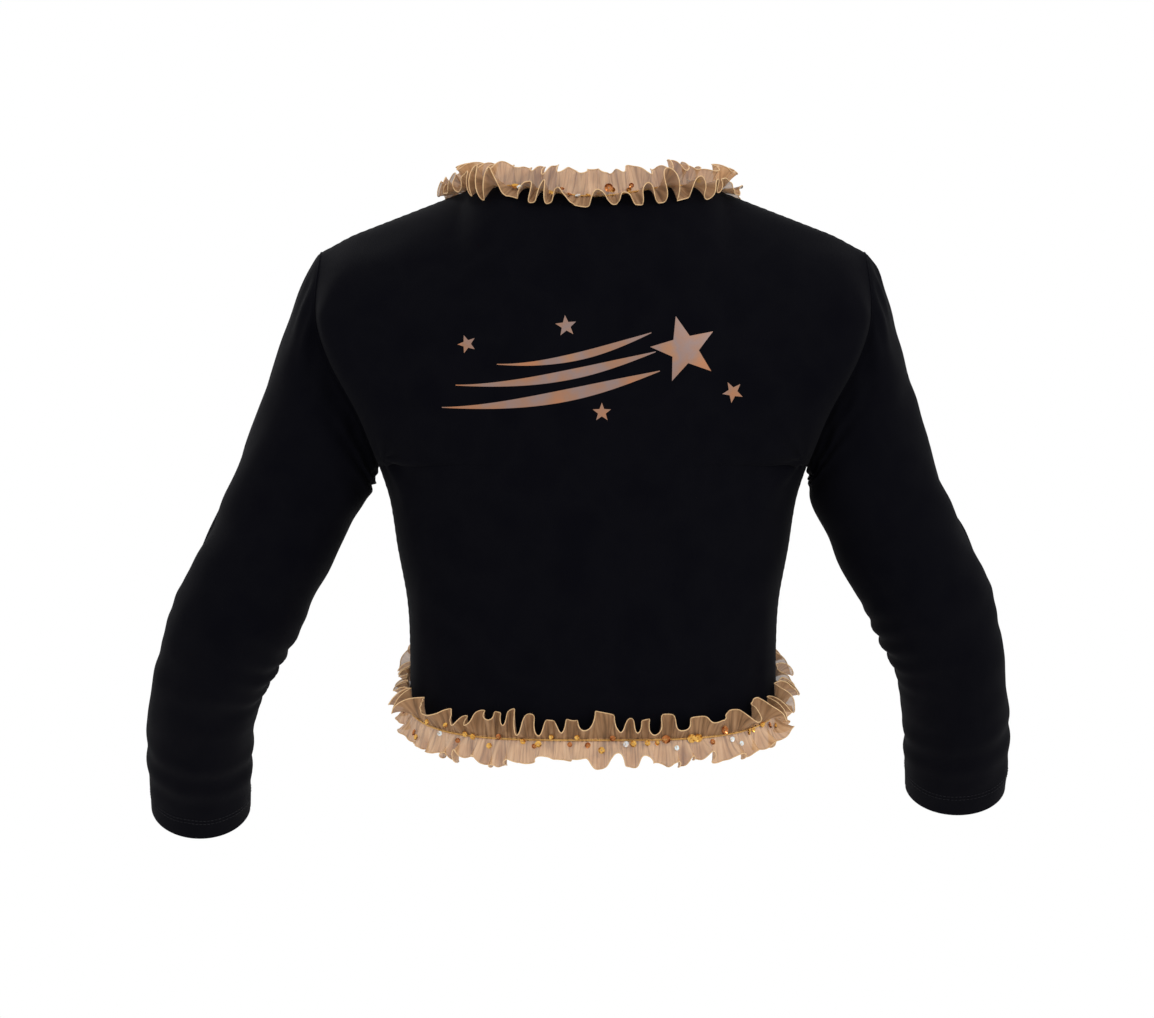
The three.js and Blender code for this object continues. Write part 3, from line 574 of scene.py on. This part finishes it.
def fold_blend(made):
    """Bakes the piece's placement into its mesh. The fold's middle, normal and inward way are worked out but
    not used, so nothing bends with the fold.
    """
    z = (FOLD_TOP_Z + FOLD_LOW_Z) / 2
    middle, normal = body(FRONT, fold_x(z) / side_x(z), z), body_normal(FRONT, fold_x(z) / side_x(z), z)
    low = body(FRONT, fold_x(FOLD_LOW_Z) / side_x(FOLD_LOW_Z), FOLD_LOW_Z)
    high = body(FRONT, fold_x(FOLD_TOP_Z) / side_x(FOLD_TOP_Z), FOLD_TOP_Z)
    inward = unit(np.cross(normal, unit(high - low)))
    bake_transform(made)


for name, side in SIDES.items():
    points, normals, keep, smooth_body = front_points(side)
    made = shell(name + "_front_cloth", points, normals, JERSEY, KNIT, keep=keep, merge=True)
    fold_blend(made)
    area = surface_area(smooth_body)
    finish_cloth([name + "_front_panel", name + "_front_flap"], (0.22, 0.42), area)


# ---- sleeves ----
SLEEVES = {name: Curve(points) for name, points in SLEEVE_LINES.items()}


def armhole(angle):
    z = mix(SHOULDER_TIP_Z, UNDERARM_Z, (1 - np.cos(angle)) / 2)
    return np.stack([side_x(z), ARMHOLE_HALF_DEPTH * np.sin(angle), z], -1)


def sleeve(curve, angle, s, inset=0.0):
    angle, s = np.broadcast_arrays(angle, s)
    centre, along = curve.at(s), curve.along(s)
    back = unit(np.array([0, 1, 0]) - along * along[..., 1:2])
    out = unit(np.cross(along, back))
    radial = out * np.cos(angle)[..., None] + back * np.sin(angle)[..., None]
    round_part = centre + radial * (sleeve_radius(s) - inset)[..., None]
    cap = armhole(angle)
    middle = cap * [1, 0, 0] + [0, 0, mix(SHOULDER_TIP_Z, UNDERARM_Z, 0.5)]
    cap = cap + unit((middle - cap) * [0, 1, 1]) * inset
    cap = cap + unit(np.array([1, 0, -0.26])) * 0.7
    cap = cap + (centre - curve.at(0)) * (0.7 + 0.3 * np.cos(angle))[..., None]
    return mix(cap, round_part, smooth(s, 0.05, 0.36)[..., None]), centre


def sleeve_folds(p, angle, s, side):
    """Height of the folds on a sleeve: round the elbow's inside, along the arm and by the cuff."""
    seed = 20 + side
    long_folds = 0.9 * swell(p * [1, 1, 0.4], 70, seed) + 0.4 * swell(p, 34, seed + 5)
    inner = (0.5 + 0.5 * np.cos(angle + PI / 2 + 0.5)) ** 1.3
    run = s * 430
    elbow = np.exp(-(((s - ELBOW_AT) / 0.085) ** 2))
    bend = 2.3 * elbow * inner * np.sin(run / 3.1 + 1.3 * np.sin(angle * 1 + side) + 0.8 * np.sin(2 * angle))
    outer = 0.8 * elbow * (1 - inner) * np.sin(run / 9 + angle)
    upper = 1.3 * np.exp(-(((s - 0.36) / 0.13) ** 2)) * np.sin(run / 11 + 1.7 * angle + side)
    cuff = 0.7 * np.exp(-(((s - 0.86) / 0.06) ** 2)) * np.sin(run / 4.6 + 0.9 * np.sin(angle + 1))
    cap = 0.8 * np.exp(-(((s - 0.05) / 0.05) ** 2)) * np.sin(16 * angle + side)
    under = np.exp(-(((s - 0.1) / 0.1) ** 2)) * (0.5 - 0.5 * np.cos(angle)) ** 3
    pit = 1.6 * under * np.sin(run / 5.5 + 2 * np.abs(np.sin(angle)))
    seam = -0.5 * np.exp(-((((angle % (2 * PI)) - PI) * 42 / 1.3) ** 2))
    fade = smooth(s, 0, 0.035) * smooth(1 - s, 0.0, 0.06)
    crown = 6 * np.sin(PI * np.clip(s / 0.2, 0, 1) ** 0.7) * np.maximum(0, np.cos(angle)) ** 1.5
    return (long_folds + bend + outer + upper + cuff + cap + pit) * fade + seam * smooth(s, 0, 0.02) + crown


ANGLES = np.linspace(0, 2 * PI, 120, endpoint=False)[None, :]


def sleeve_grid(curve, side, shares, inset=0.0, folds=True):
    s = np.asarray(shares)[:, None]
    p, centre = sleeve(curve, ANGLES, s, inset)
    n = grid_normals(p, True)
    n = n if (n * (p - centre)).sum() > 0 else -n
    if folds:
        p = p + n * sleeve_folds(p, ANGLES + 0 * s, s + 0 * ANGLES, side)[..., None]
    return p * [side, 1, 1], n * [side, 1, 1]


for name, side in SIDES.items():
    curve = SLEEVES[name]
    axis = unit(np.array([SHOULDER_TIP_Z - UNDERARM_Z, 0, float(side_x(UNDERARM_Z)) - SHOULDER_TIP_X]))
    shares = np.r_[np.linspace(0, SLEEVE_CUT, CAP_ROWS)[:-1], np.linspace(SLEEVE_CUT, 1, ARM_ROWS)]
    points, normals = sleeve_grid(curve, side, shares)
    smooth_points, _ = sleeve_grid(curve, side, shares, folds=False)
    of_cap, of_arm = slice(0, CAP_ROWS), slice(CAP_ROWS - 1, None)

    cap = shell(name + "_cap_cloth", points[of_cap], normals[of_cap], JERSEY, KNIT, wrap=True)
    seam = armhole(PI / 2) * [1, 0, 1]
    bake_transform(cap)
    area = surface_area(np.concatenate([smooth_points[of_cap], smooth_points[of_cap, :1]], 1))
    finish_cloth([name + "_upper_sleeve"], (0.36, 0.25), area)

    arm = shell(name + "_arm_cloth", points[of_arm], normals[of_arm], JERSEY, KNIT, wrap=True)
    elbow, along = curve.at(ELBOW_AT), curve.along(ELBOW_AT)
    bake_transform(arm)
    area = surface_area(np.concatenate([smooth_points[of_arm], smooth_points[of_arm, :1]], 1))
    finish_cloth([name + "_lower_sleeve"], (0.31, 0.25), area)

    hem_from = 1 - CUFF_BAND / curve.length
    points, normals = sleeve_grid(curve, side, np.linspace(hem_from, 1, 9), JERSEY + 0.15, folds=False)
    band = shell(name + "_cuff_band", points, normals, JERSEY, BAND, wrap=True)
    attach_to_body(band, name + "_forearm")
    finish_cloth([name + "_cuff_hem"], (0.25, 0.02), None)

    sewn = Pile()
    for back in (CUFF_BAND - 1.5, CUFF_BAND - 4.7):
        ring, normals = sleeve_grid(curve, side, [1 - (back + d) / curve.length for d in (-1, 0, 1)])
        stitches(sewn, np.vstack([ring[1], ring[1, :1]]), np.vstack([normals[1], normals[1, :1]]))
    made = sewn.make(name + "_cuff_stitches", THREAD)
    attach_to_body(made, name + "_forearm")


# ---- seams ----
def seam_cord(pile, path, radius, seed, closed=False):
    path = np.asarray(path, float)
    rng = np.random.default_rng(seed)
    run = np.r_[0, np.cumsum(np.linalg.norm(np.diff(path, axis=0), axis=1))]
    share = np.linspace(0, 1, int(run[-1] / 1.5) + 2, endpoint=not closed)
    fine = np.stack([np.interp(share * run[-1], run, path[:, k]) for k in range(3)], -1)
    pucker = 1 + 0.14 * np.sin(share * run[-1] / 1.1) + rng.normal(0, 0.05, len(fine))
    pile.add(*tube_parts(fine, radius * pucker, 8, closed))


seams = Pile()
for name, side in SIDES.items():
    flip = np.array([side, 1, 1])
    ring = armhole(np.linspace(0, 2 * PI, 181)) + unit(np.array([1, 0, -0.26])) * 0.35
    middle = np.array([0, 0, mix(SHOULDER_TIP_Z, UNDERARM_Z, 0.5)])
    inward = unit((middle - ring) * [0, 1, 1])
    seam_cord(seams, (ring + inward * 0.55)[:-1] * flip, 0.95, 3, closed=True)
    z = np.linspace(-200, float(hem_z(PI / 2)) + 1, 60)
    seam_cord(seams, np.stack([side_x(z) - 0.5, 0 * z, z], -1) * flip, 0.75, 5)
    x = np.linspace(NECK_HALF_WIDTH, SHOULDER_TIP_X, 40)
    seam_cord(seams, np.stack([x, 0 * x, shoulder_z(x) - 0.45], -1) * flip, 0.75, 7)
seam_piece = seams.make("body_seams", KNIT)
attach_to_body(seam_piece, "torso")

# ---- tapes and label inside ----
f, z = back_grid(np.linspace(-0.4, 0.4, 81), np.linspace(0.86, 0.995, 6))
points, normals = cloth(BACK, f, z, -JERSEY - 0.35)
neck_tape = shell("neck_stay_tape", points, normals, 0.35, TAPE)
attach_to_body(neck_tape, "torso")
finish_cloth(["neck_tape"], cut_size(points), None)
sewn = Pile()
for row in (1, 4):
    stitches(sewn, points[row] - normals[row] * 0.4, -normals[row], 2.6, 1.9, 0.18)

x, z = np.meshgrid(np.linspace(-14, 14, 12), np.linspace(-42, -12, 12))
points, normals = cloth(BACK, x / side_x(z), z)
points = points - normals * (JERSEY + 0.5 + 0.02 * (-12 - z)[..., None])
label = shell("blank_label", points, normals, 0.25, LABEL)
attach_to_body(label, "torso")
finish_cloth(["size_label"], cut_size(points), None)
stitches(sewn, points[-1] - normals[-1] * 0.3, -normals[-1], 2.4, 1.7, 0.16)

for name, side in SIDES.items():
    x, y = np.meshgrid(np.linspace(NECK_HALF_WIDTH + 6, SHOULDER_TIP_X - 8, 30), np.linspace(-3.5, 3.5, 5))
    z = shoulder_z(x) - 1.75 - 0.28 * np.abs(y)
    points = np.stack([x, y, z], -1) * [side, 1, 1]
    up = np.broadcast_to(unit(np.array([side * SHOULDER_SLOPE, 0, 1.0])), points.shape)
    tape = shell(name + "_stay_tape", points, up, 0.3, TAPE)
    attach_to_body(tape, "torso")
    finish_cloth([name + "_shoulder_tape"], (0.01, 0.101), 0.0007)
    for row in (1, 3):
        stitches(sewn, points[row] - up[row] * 0.35, -up[row], 2.6, 1.9, 0.18)
made = sewn.make("inside_stitches", THREAD)
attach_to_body(made, "torso")


# ---- foil motif ----
def film(name, x, z, node, wrap=False):
    points, normals = cloth(BACK, x / side_x(z), z, 0.3)
    made = shell(name, points, normals, 0.09, FOIL, wrap, merge=True)
    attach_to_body(made, "torso")
    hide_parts(node)


def star(name, x, z, radius, turn, node):
    corner = np.arange(11) % 10
    reach = radius * np.where(corner % 2, 0.42, 1)
    angle = np.arange(11) * PI / 5 + turn
    rim_x, rim_z = reach * np.sin(angle), reach * np.cos(angle)
    fine = np.linspace(0, 10, 81)[:-1]
    rim_x, rim_z = np.interp(fine, np.arange(11), rim_x), np.interp(fine, np.arange(11), rim_z)
    ring = np.linspace(0, 1, 10)[:, None]
    film(name, x + ring * rim_x, z + ring * rim_z, node, True)


def tail(name, start, end, width, node):
    u, v = np.meshgrid(np.linspace(0, 1, 90), np.linspace(-0.5, 0.5, 7))
    x = mix(start[0], end[0], u)
    middle = mix(start[1], end[1], u**1.5) - 3 * np.sin(PI * u)
    wide = 0.6 + (width - 0.6) * np.sin(PI * u**1.3)
    film(name, x, middle + v * wide, node)


# place across and up the back, radius, and turn in radians
STARS = [(-66, -116, 25, 0.25), (20, -99, 8, 0.1), (-101, -147, 8, 0.5),
         (-6, -162, 7, 0), (92, -112, 7, 0.35)]
# the two ends of each tail, and its width
TAILS = [((110, -158), (-48, -132), 9), ((100, -142), (-45, -118), 7.5), ((70, -127), (-42, -104), 6)]

for i, (x, z, radius, turn) in enumerate(STARS):
    node = f"foil_small_star_{i}" if i else "foil_large_star"
    star(f"foil_star_{i}_film", x, z, radius, turn, node)
for i, (start, end, width) in enumerate(TAILS, 1):
    tail(f"foil_streak_{i}_film", start, end, width, f"foil_tail_{i}")


# ---- gathered trims ----
def neck_course():
    """Round the back of the neck, from one neck point to the other."""
    angle = np.linspace(PI / 2, -PI / 2, 33)
    x = NECK_HALF_WIDTH * np.sin(angle)
    return Curve(np.stack([x, NECK_BACK_DEPTH * np.cos(angle), top_z(x, BACK)], -1), 12)


HEM_JOIN_X = 119  # where the hem's trim meets the fronts' trims, clear of the folds
HEM_JOIN_ANGLE = PI - math.asin((HEM_JOIN_X / 137) ** (SECTION / 2))


def hem_line(angle):
    face = np.where(np.abs(angle) < PI / 2, BACK, FRONT)
    return body(face, np.sign(angle) * hem_share(angle), hem_z(angle))


def hem_course():
    return Curve(hem_line(np.linspace(HEM_JOIN_ANGLE, -HEM_JOIN_ANGLE, 61)), 8)


def front_course(side):
    """From the hem, up the bowed edge of a front and its neckline, to the neck point."""
    low = hem_line(np.linspace(HEM_JOIN_ANGLE, FOLD_LOW_ANGLE, 8)[:-1])
    t = (1 - np.cos(np.linspace(0, PI, 30))) / 2
    rise = np.sin(PI / 2 * np.linspace(0, 1, 12)[1:])
    z = np.r_[mix(FOLD_LOW_Z, FOLD_TOP_Z, t), mix(FOLD_TOP_Z, NECK_POINT_Z, rise)]
    up = body(FRONT, front_edge_x(z) / side_x(z), z)
    return Curve(np.vstack([low, up]) * [side, 1, 1], 10)


def level_out(p):
    ring = (p[..., 2] > NECK_POINT_Z - NECK_DIP - 1) & (p[..., 1] > -1)
    wide = np.where(ring, NECK_HALF_WIDTH, side_x(p[..., 2]))
    deep = np.where(ring, NECK_BACK_DEPTH, depth_at(p[..., 2]))
    return unit(np.stack([p[..., 0] / wide**2, p[..., 1] / deep**2, 0 * wide], -1))


def cloth_out(p):
    face = np.where(p[..., 1] >= 0, BACK, FRONT)
    normal = body_normal(face, p[..., 0] / side_x(p[..., 2]), p[..., 2])
    shoulder = unit(np.stack([np.sign(p[..., 0]) * SHOULDER_SLOPE, 0 * p[..., 0], 1 + 0 * p[..., 0]], -1))
    ring = (p[..., 2] >= NECK_POINT_Z - NECK_DIP - 1) & (p[..., 1] >= -1)
    share = np.where(ring, smooth(np.abs(p[..., 0]) / NECK_HALF_WIDTH, 0.4, 0.9), 0)
    return unit(mix(normal, shoulder, share[..., None]))


def spread(values, width):
    """Evens values out along a course."""
    reach = 3 * width
    window = np.exp(-((np.arange(-reach, reach + 1) / width) ** 2))
    window /= window.sum()
    padded = np.concatenate([np.repeat(values[:1], reach, 0), values, np.repeat(values[-1:], reach, 0)])
    if values.ndim == 1:
        return np.convolve(padded, window, "valid")
    return np.stack([np.convolve(padded[:, k], window, "valid") for k in range(values.shape[1])], -1)


def flutes(run, rng, short, long):
    """Irregular flutes along a run: phase, width, and a random figure of each that runs on smoothly."""
    edges = [run[0] - rng.uniform(0, short)]
    while edges[-1] < run[-1]:
        edges.append(edges[-1] + short + (long - short) * rng.random() ** 1.4)
    edges = np.array(edges)
    phase = 2 * PI * np.interp(run, edges, np.arange(len(edges)))
    middles = (edges[1:] + edges[:-1]) / 2

    def figure(low, high):
        return spread(np.interp(run, middles, rng.uniform(low, high, len(middles))), 7)

    return phase, np.interp(run, middles, np.diff(edges)), figure


STEP = 0.45
ROWS = 15
MARCH = 2.5


def over_cloth(p, along, inner, over, sign):
    """The cloth's own surface at steps inwards from its edge: points, and outward normals."""
    face = np.where(p[:, 1] >= 0, BACK, FRONT)
    share = np.abs(p[:, 0]) / side_x(p[:, 2])
    sure = smooth(1 - share, 0.04, 0.12)
    at_neck = (p[:, 1] >= 0) & (p[:, 2] > -60)
    sure = sure * np.where(at_neck, smooth(NECK_HALF_WIDTH - np.abs(p[:, 0]), 7, 24), 1)
    sure = spread(sure * np.where(p[:, 1] < 0, smooth(-p[:, 2], 12, 34), 1), 8)[:, None]
    q, points, normals = p, [p], [over]
    for k in range(1, 10):
        f = np.clip(q[:, 0] / side_x(q[:, 2]), -0.985, 0.985)
        n = unit(spread(np.nan_to_num(body_normal(face, f, q[:, 2])), 5))
        q = q + unit(np.cross(along, n)) * -sign * MARCH
        z = np.minimum(q[:, 2], top_z(q[:, 0], face) - 0.05)
        on = body(face, np.clip(q[:, 0] / side_x(z), -1, 1), z)
        q = np.stack([q[:, 0], mix(q[:, 1], on[:, 1], sure[:, 0]), z], -1)
        straight = p + inner * k * MARCH
        points.append(mix(straight, q, sure))
        normals.append(unit(mix(over, n, sure)))
    return np.stack(points), np.stack(normals)


def frill_points(course, sign, seed, stand):
    """A gathered strip as a grid of points: rows run across it, columns along its course.
    stand holds each half's lowest tilt off the cloth, and the least and most that its flutes swing up,
    in degrees."""
    run = np.linspace(0, course.length, int(course.length / STEP))
    p = course.at(run / course.length)
    along = unit(spread(np.gradient(p, axis=0), 6))
    level, over = unit(spread(level_out(p), 14)), unit(spread(cloth_out(p), 14))
    outer = unit(np.cross(along, level)) * sign
    inner = unit(np.cross(along, over)) * -sign
    lift = unit(over + level)
    lain, facing_out = over_cloth(p, along, inner, over, sign)
    column = np.arange(len(run))
    rng = np.random.default_rng(seed)
    fine = 2 * PI * (run / 4.2 + 0.35 * np.sin(run / 9.7) + 0.2 * np.sin(run / 3.9 + 1))
    pleat = 2 * np.abs(np.sin(PI * (run / 5.6 + 0.3 * np.sin(run / 8.3)))) - 1
    rows = {}
    for half in (-1, 1):
        phase, width, figure = flutes(run, rng, 8.5, 29)
        low, least, most = stand[half]
        swing, lean, base = figure(least, most), figure(-1, 1), figure(-0.5, 1)
        reach = figure(0.74, 1.2) if half < 0 else figure(0.7, 1.16)
        bow, blunt = figure(0, 0.15 if half < 0 else 0.1), figure(0.45, 1.9)
        for share in np.linspace(0, 1, ROWS):
            c = share * FRILL * reach * (1 + 0.06 * share * np.sin(run / 2.7 + 2 * np.sin(run / 7.7)))
            wander = phase + 0.9 * share * lean
            crest = (0.5 + 0.5 * np.cos(wander)) ** blunt
            tilt = np.radians((low + 9 * base + swing * crest) * (0.7 + 0.3 * share))
            high = 0.15 + 0.65 * smooth(share * FRILL, 0, 5) + c * np.sin(tilt)
            tight = math.exp(-share * FRILL / 6)
            high = high + 0.75 * tight * (1 + np.sin(fine))
            high = high + 0.42 * (1 - 0.75 * share) * min(1, 4 * share) * pleat
            high = high + 0.4 * share**3 * np.sin(2 * PI * run / 4.7 + 2 * np.sin(run / 6.0))
            slide = bow * width * share**0.85 * np.sin(2 * wander) + 3.2 * lean * share**1.7 * crest
            flat = c * np.cos(tilt)
            if half < 0:
                high = np.maximum(high, 0.45 + 1.6 * smooth(share * FRILL, 9, 19))
                step = np.clip(flat / MARCH, 0, 8.99)
                k, t = step.astype(int), (step % 1)[:, None]
                base_point = mix(lain[k, column], lain[k + 1, column], t)
                away = unit(mix(facing_out[k, column], facing_out[k + 1, column], t))
            else:
                base_point, away = p + outer * flat[:, None], level
            way = unit(mix(lift, away, smooth(share * FRILL, 0, 6)))
            rows[half * share] = base_point + way * high[:, None] + along * slide[:, None]
    points = np.stack([rows[k] for k in sorted(rows)])
    return points, {"run": run, "lift": lift, "over": over, "level": level, "along": along, "p": p}


def sequin(pile, at, face, radius, slot, rng):
    """A faceted cup sequin with a hole in its middle, and a thread over its rim."""
    face = unit(face)
    side = unit(np.cross(face, rng.normal(size=3)))
    other = np.cross(face, side)
    angle = np.linspace(0, 2 * PI, 12, endpoint=False)
    spokes = np.cos(angle)[:, None] * side + np.sin(angle)[:, None] * other
    facet = 1 + 0.03 * np.cos(6 * angle)[:, None]
    rings = []
    for reach, high in ((0.17, -0.16), (0.58, -0.13), (1.0, 0.14), (1.0, 0.19), (0.58, -0.08), (0.17, -0.11)):
        rings.append(at + spokes * radius * reach * facet + face * radius * high)
    quads = [*grid(6, 12, True)]
    quads += [[60 + i, 60 + (i + 1) % 12, (i + 1) % 12, i] for i in range(12)]
    pile.add(np.vstack(rings), quads, slot)
    stitch = np.stack([at + face * radius * h + side * radius * r for r, h in
                       ((0.05, -0.2), (0.1, 0.06), (0.6, 0.1), (1.02, 0.28), (1.12, -0.05), (1.05, -0.5))])
    pile.add(*tube_parts(stitch, 0.13, 4), 3)


def trim(name, course, sign, seed, count, attach, stand):
    grid_points, axes = frill_points(course, sign, seed, stand)
    rows, cols = grid_points.shape[:2]
    rng = np.random.default_rng(seed + 100)
    quads = facing(grid_points.reshape(-1, 3), grid(rows, cols), np.tile(axes["lift"], (rows, 1)))
    outer_half = np.arange(len(quads)) // (cols - 1) >= ROWS - 2
    frill = mesh_object(name + "_frill", grid_points.reshape(-1, 3), quads, [ORGANZA, FULL_ORGANZA],
                        run_uv(grid_points), outer_half)

    edge = Pile()
    for row in (0, -1):
        edge.add(*tube_parts(grid_points[row], 0.4, 5, hint=axes["lift"] + 0.3 * axes["along"]))
    edge = edge.make(name + "_frill_edge", MERROW)

    binding = Pile()
    binding.add(*tube_parts((axes["p"] - axes["lift"] * 0.55)[::3], 1.3, 8))
    binding = binding.make(name + "_edge_binding", KNIT)

    height = 2.0
    centre = axes["p"] + axes["lift"] * height
    side = unit(np.cross(axes["along"], axes["lift"]))
    turn = axes["run"] * 2 * PI / 3.4
    yarn = Pile()
    for start in (0, PI):
        offset = np.cos(turn + start)[:, None] * side + np.sin(turn + start)[:, None] * axes["lift"]
        yarn.add(*tube_parts(centre[6:-6] + 0.36 * offset[6:-6], 0.38, 6))
    yarn = yarn.make(name + "_yarn", YARN)

    spangles = Pile()
    middle = rows // 2
    for i in range(count):
        radius, kind = rng.choice([1.9, 2.2, 2.5, 3.2]), int(rng.choice([0, 0, 0, 1, 1, 2]))
        radius = min(radius, 2.2) if kind == 2 else radius
        for _ in range(12):
            col = int((i + rng.uniform(0.1, 0.9)) / count * (cols - 20)) + 10
            row = int(np.clip(middle + rng.normal(0, 4.2), 3, rows - 4))
            away = unit(axes["over"][col] if row < middle else axes["level"][col])
            offset = grid_points[:, max(0, col - 30):col + 31].reshape(-1, 3) - grid_points[row, col]
            above = offset @ away
            under = np.linalg.norm(offset - above[:, None] * away, axis=-1) < radius + 0.4
            clear = above[under].max()
            if clear < 2.2:
                break
        else:
            continue
        at = grid_points[row, col] + away * (clear + 0.25 + 0.16 * radius)
        sequin(spangles, at, away + rng.normal(0, 0.2, 3), radius, kind, rng)
    spangles = spangles.make(name + "_sequins", [GOLD, COPPER, CLEAR, YARN], sharp=25)

    for piece in (frill, edge, binding, yarn, spangles):
        attach(piece)
    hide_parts(name + "_gather_cord")
    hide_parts(name + "_sequin_strand")
    flat = (2 * FRILL * MM, GATHERING * course.length * MM)
    finish_cloth([name + "_ruffle"], flat, None)


def on_torso(piece):
    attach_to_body(piece, "torso")


trim("neck", neck_course(), -1, 11, 34, on_torso, {-1: (2, 16, 82), 1: (-16, 24, 74)})
trim("hem", hem_course(), 1, 12, 60, on_torso, {-1: (3, 22, 84), 1: (-10, 24, 76)})
for name, side in SIDES.items():
    course = front_course(side)
    sign = -1 if side > 0 else 1
    trim(name + "_front", course, sign, 13 + side, 44, lambda piece: fold_blend(piece),
         {-1: (3, 18, 76), 1: (-8, 18, 66)})

# ---- floor, light and camera ----
floor_material, _, _ = material("studio_floor", (244, 243, 241), 0.7, specular=0.2)
disc = np.stack([np.cos(np.linspace(0, 2 * PI, 64, endpoint=False)),
                 np.sin(np.linspace(0, 2 * PI, 64, endpoint=False)), 0 * np.arange(64)], -1)
floor = mesh_object("studio_floor", disc * 1500 + [0, 0, -1000], [list(range(64))], floor_material)

world = bpy.context.scene.world or bpy.data.worlds.new("studio")
bpy.context.scene.world = world
world.use_nodes = True
world.node_tree.nodes["Background"].inputs["Color"].default_value = (1, 1, 1, 1)
world.node_tree.nodes["Background"].inputs["Strength"].default_value = 1.0


def area_light(name, place, target, size, power):
    data = bpy.data.lights.new(name, "AREA")
    data.shape, data.size, data.energy = "DISK", size, power
    lamp = bpy.data.objects.new(name, data)
    bpy.context.collection.objects.link(lamp)
    lamp.location = place
    direction = np.array(target) - np.array(place)
    lamp.rotation_euler = Vector(direction).to_track_quat("-Z", "Y").to_euler()


area_light("key", (-1.6, 2.0, 1.6), (0, 0, -0.2), 0.8, 22)
area_light("front_key", (1.6, -2.0, 1.6), (0, 0, -0.2), 0.8, 22)

camera_data = bpy.data.cameras.new("camera")
camera = bpy.data.objects.new("camera", camera_data)
bpy.context.collection.objects.link(camera)
camera.location = (0.012, 3.0, -0.232)
camera.rotation_euler = (PI / 2, 0, PI)
camera_data.sensor_width = 36
camera_data.lens = 124.8
bpy.context.scene.camera = camera
bpy.context.scene.view_settings.view_transform = "Standard"
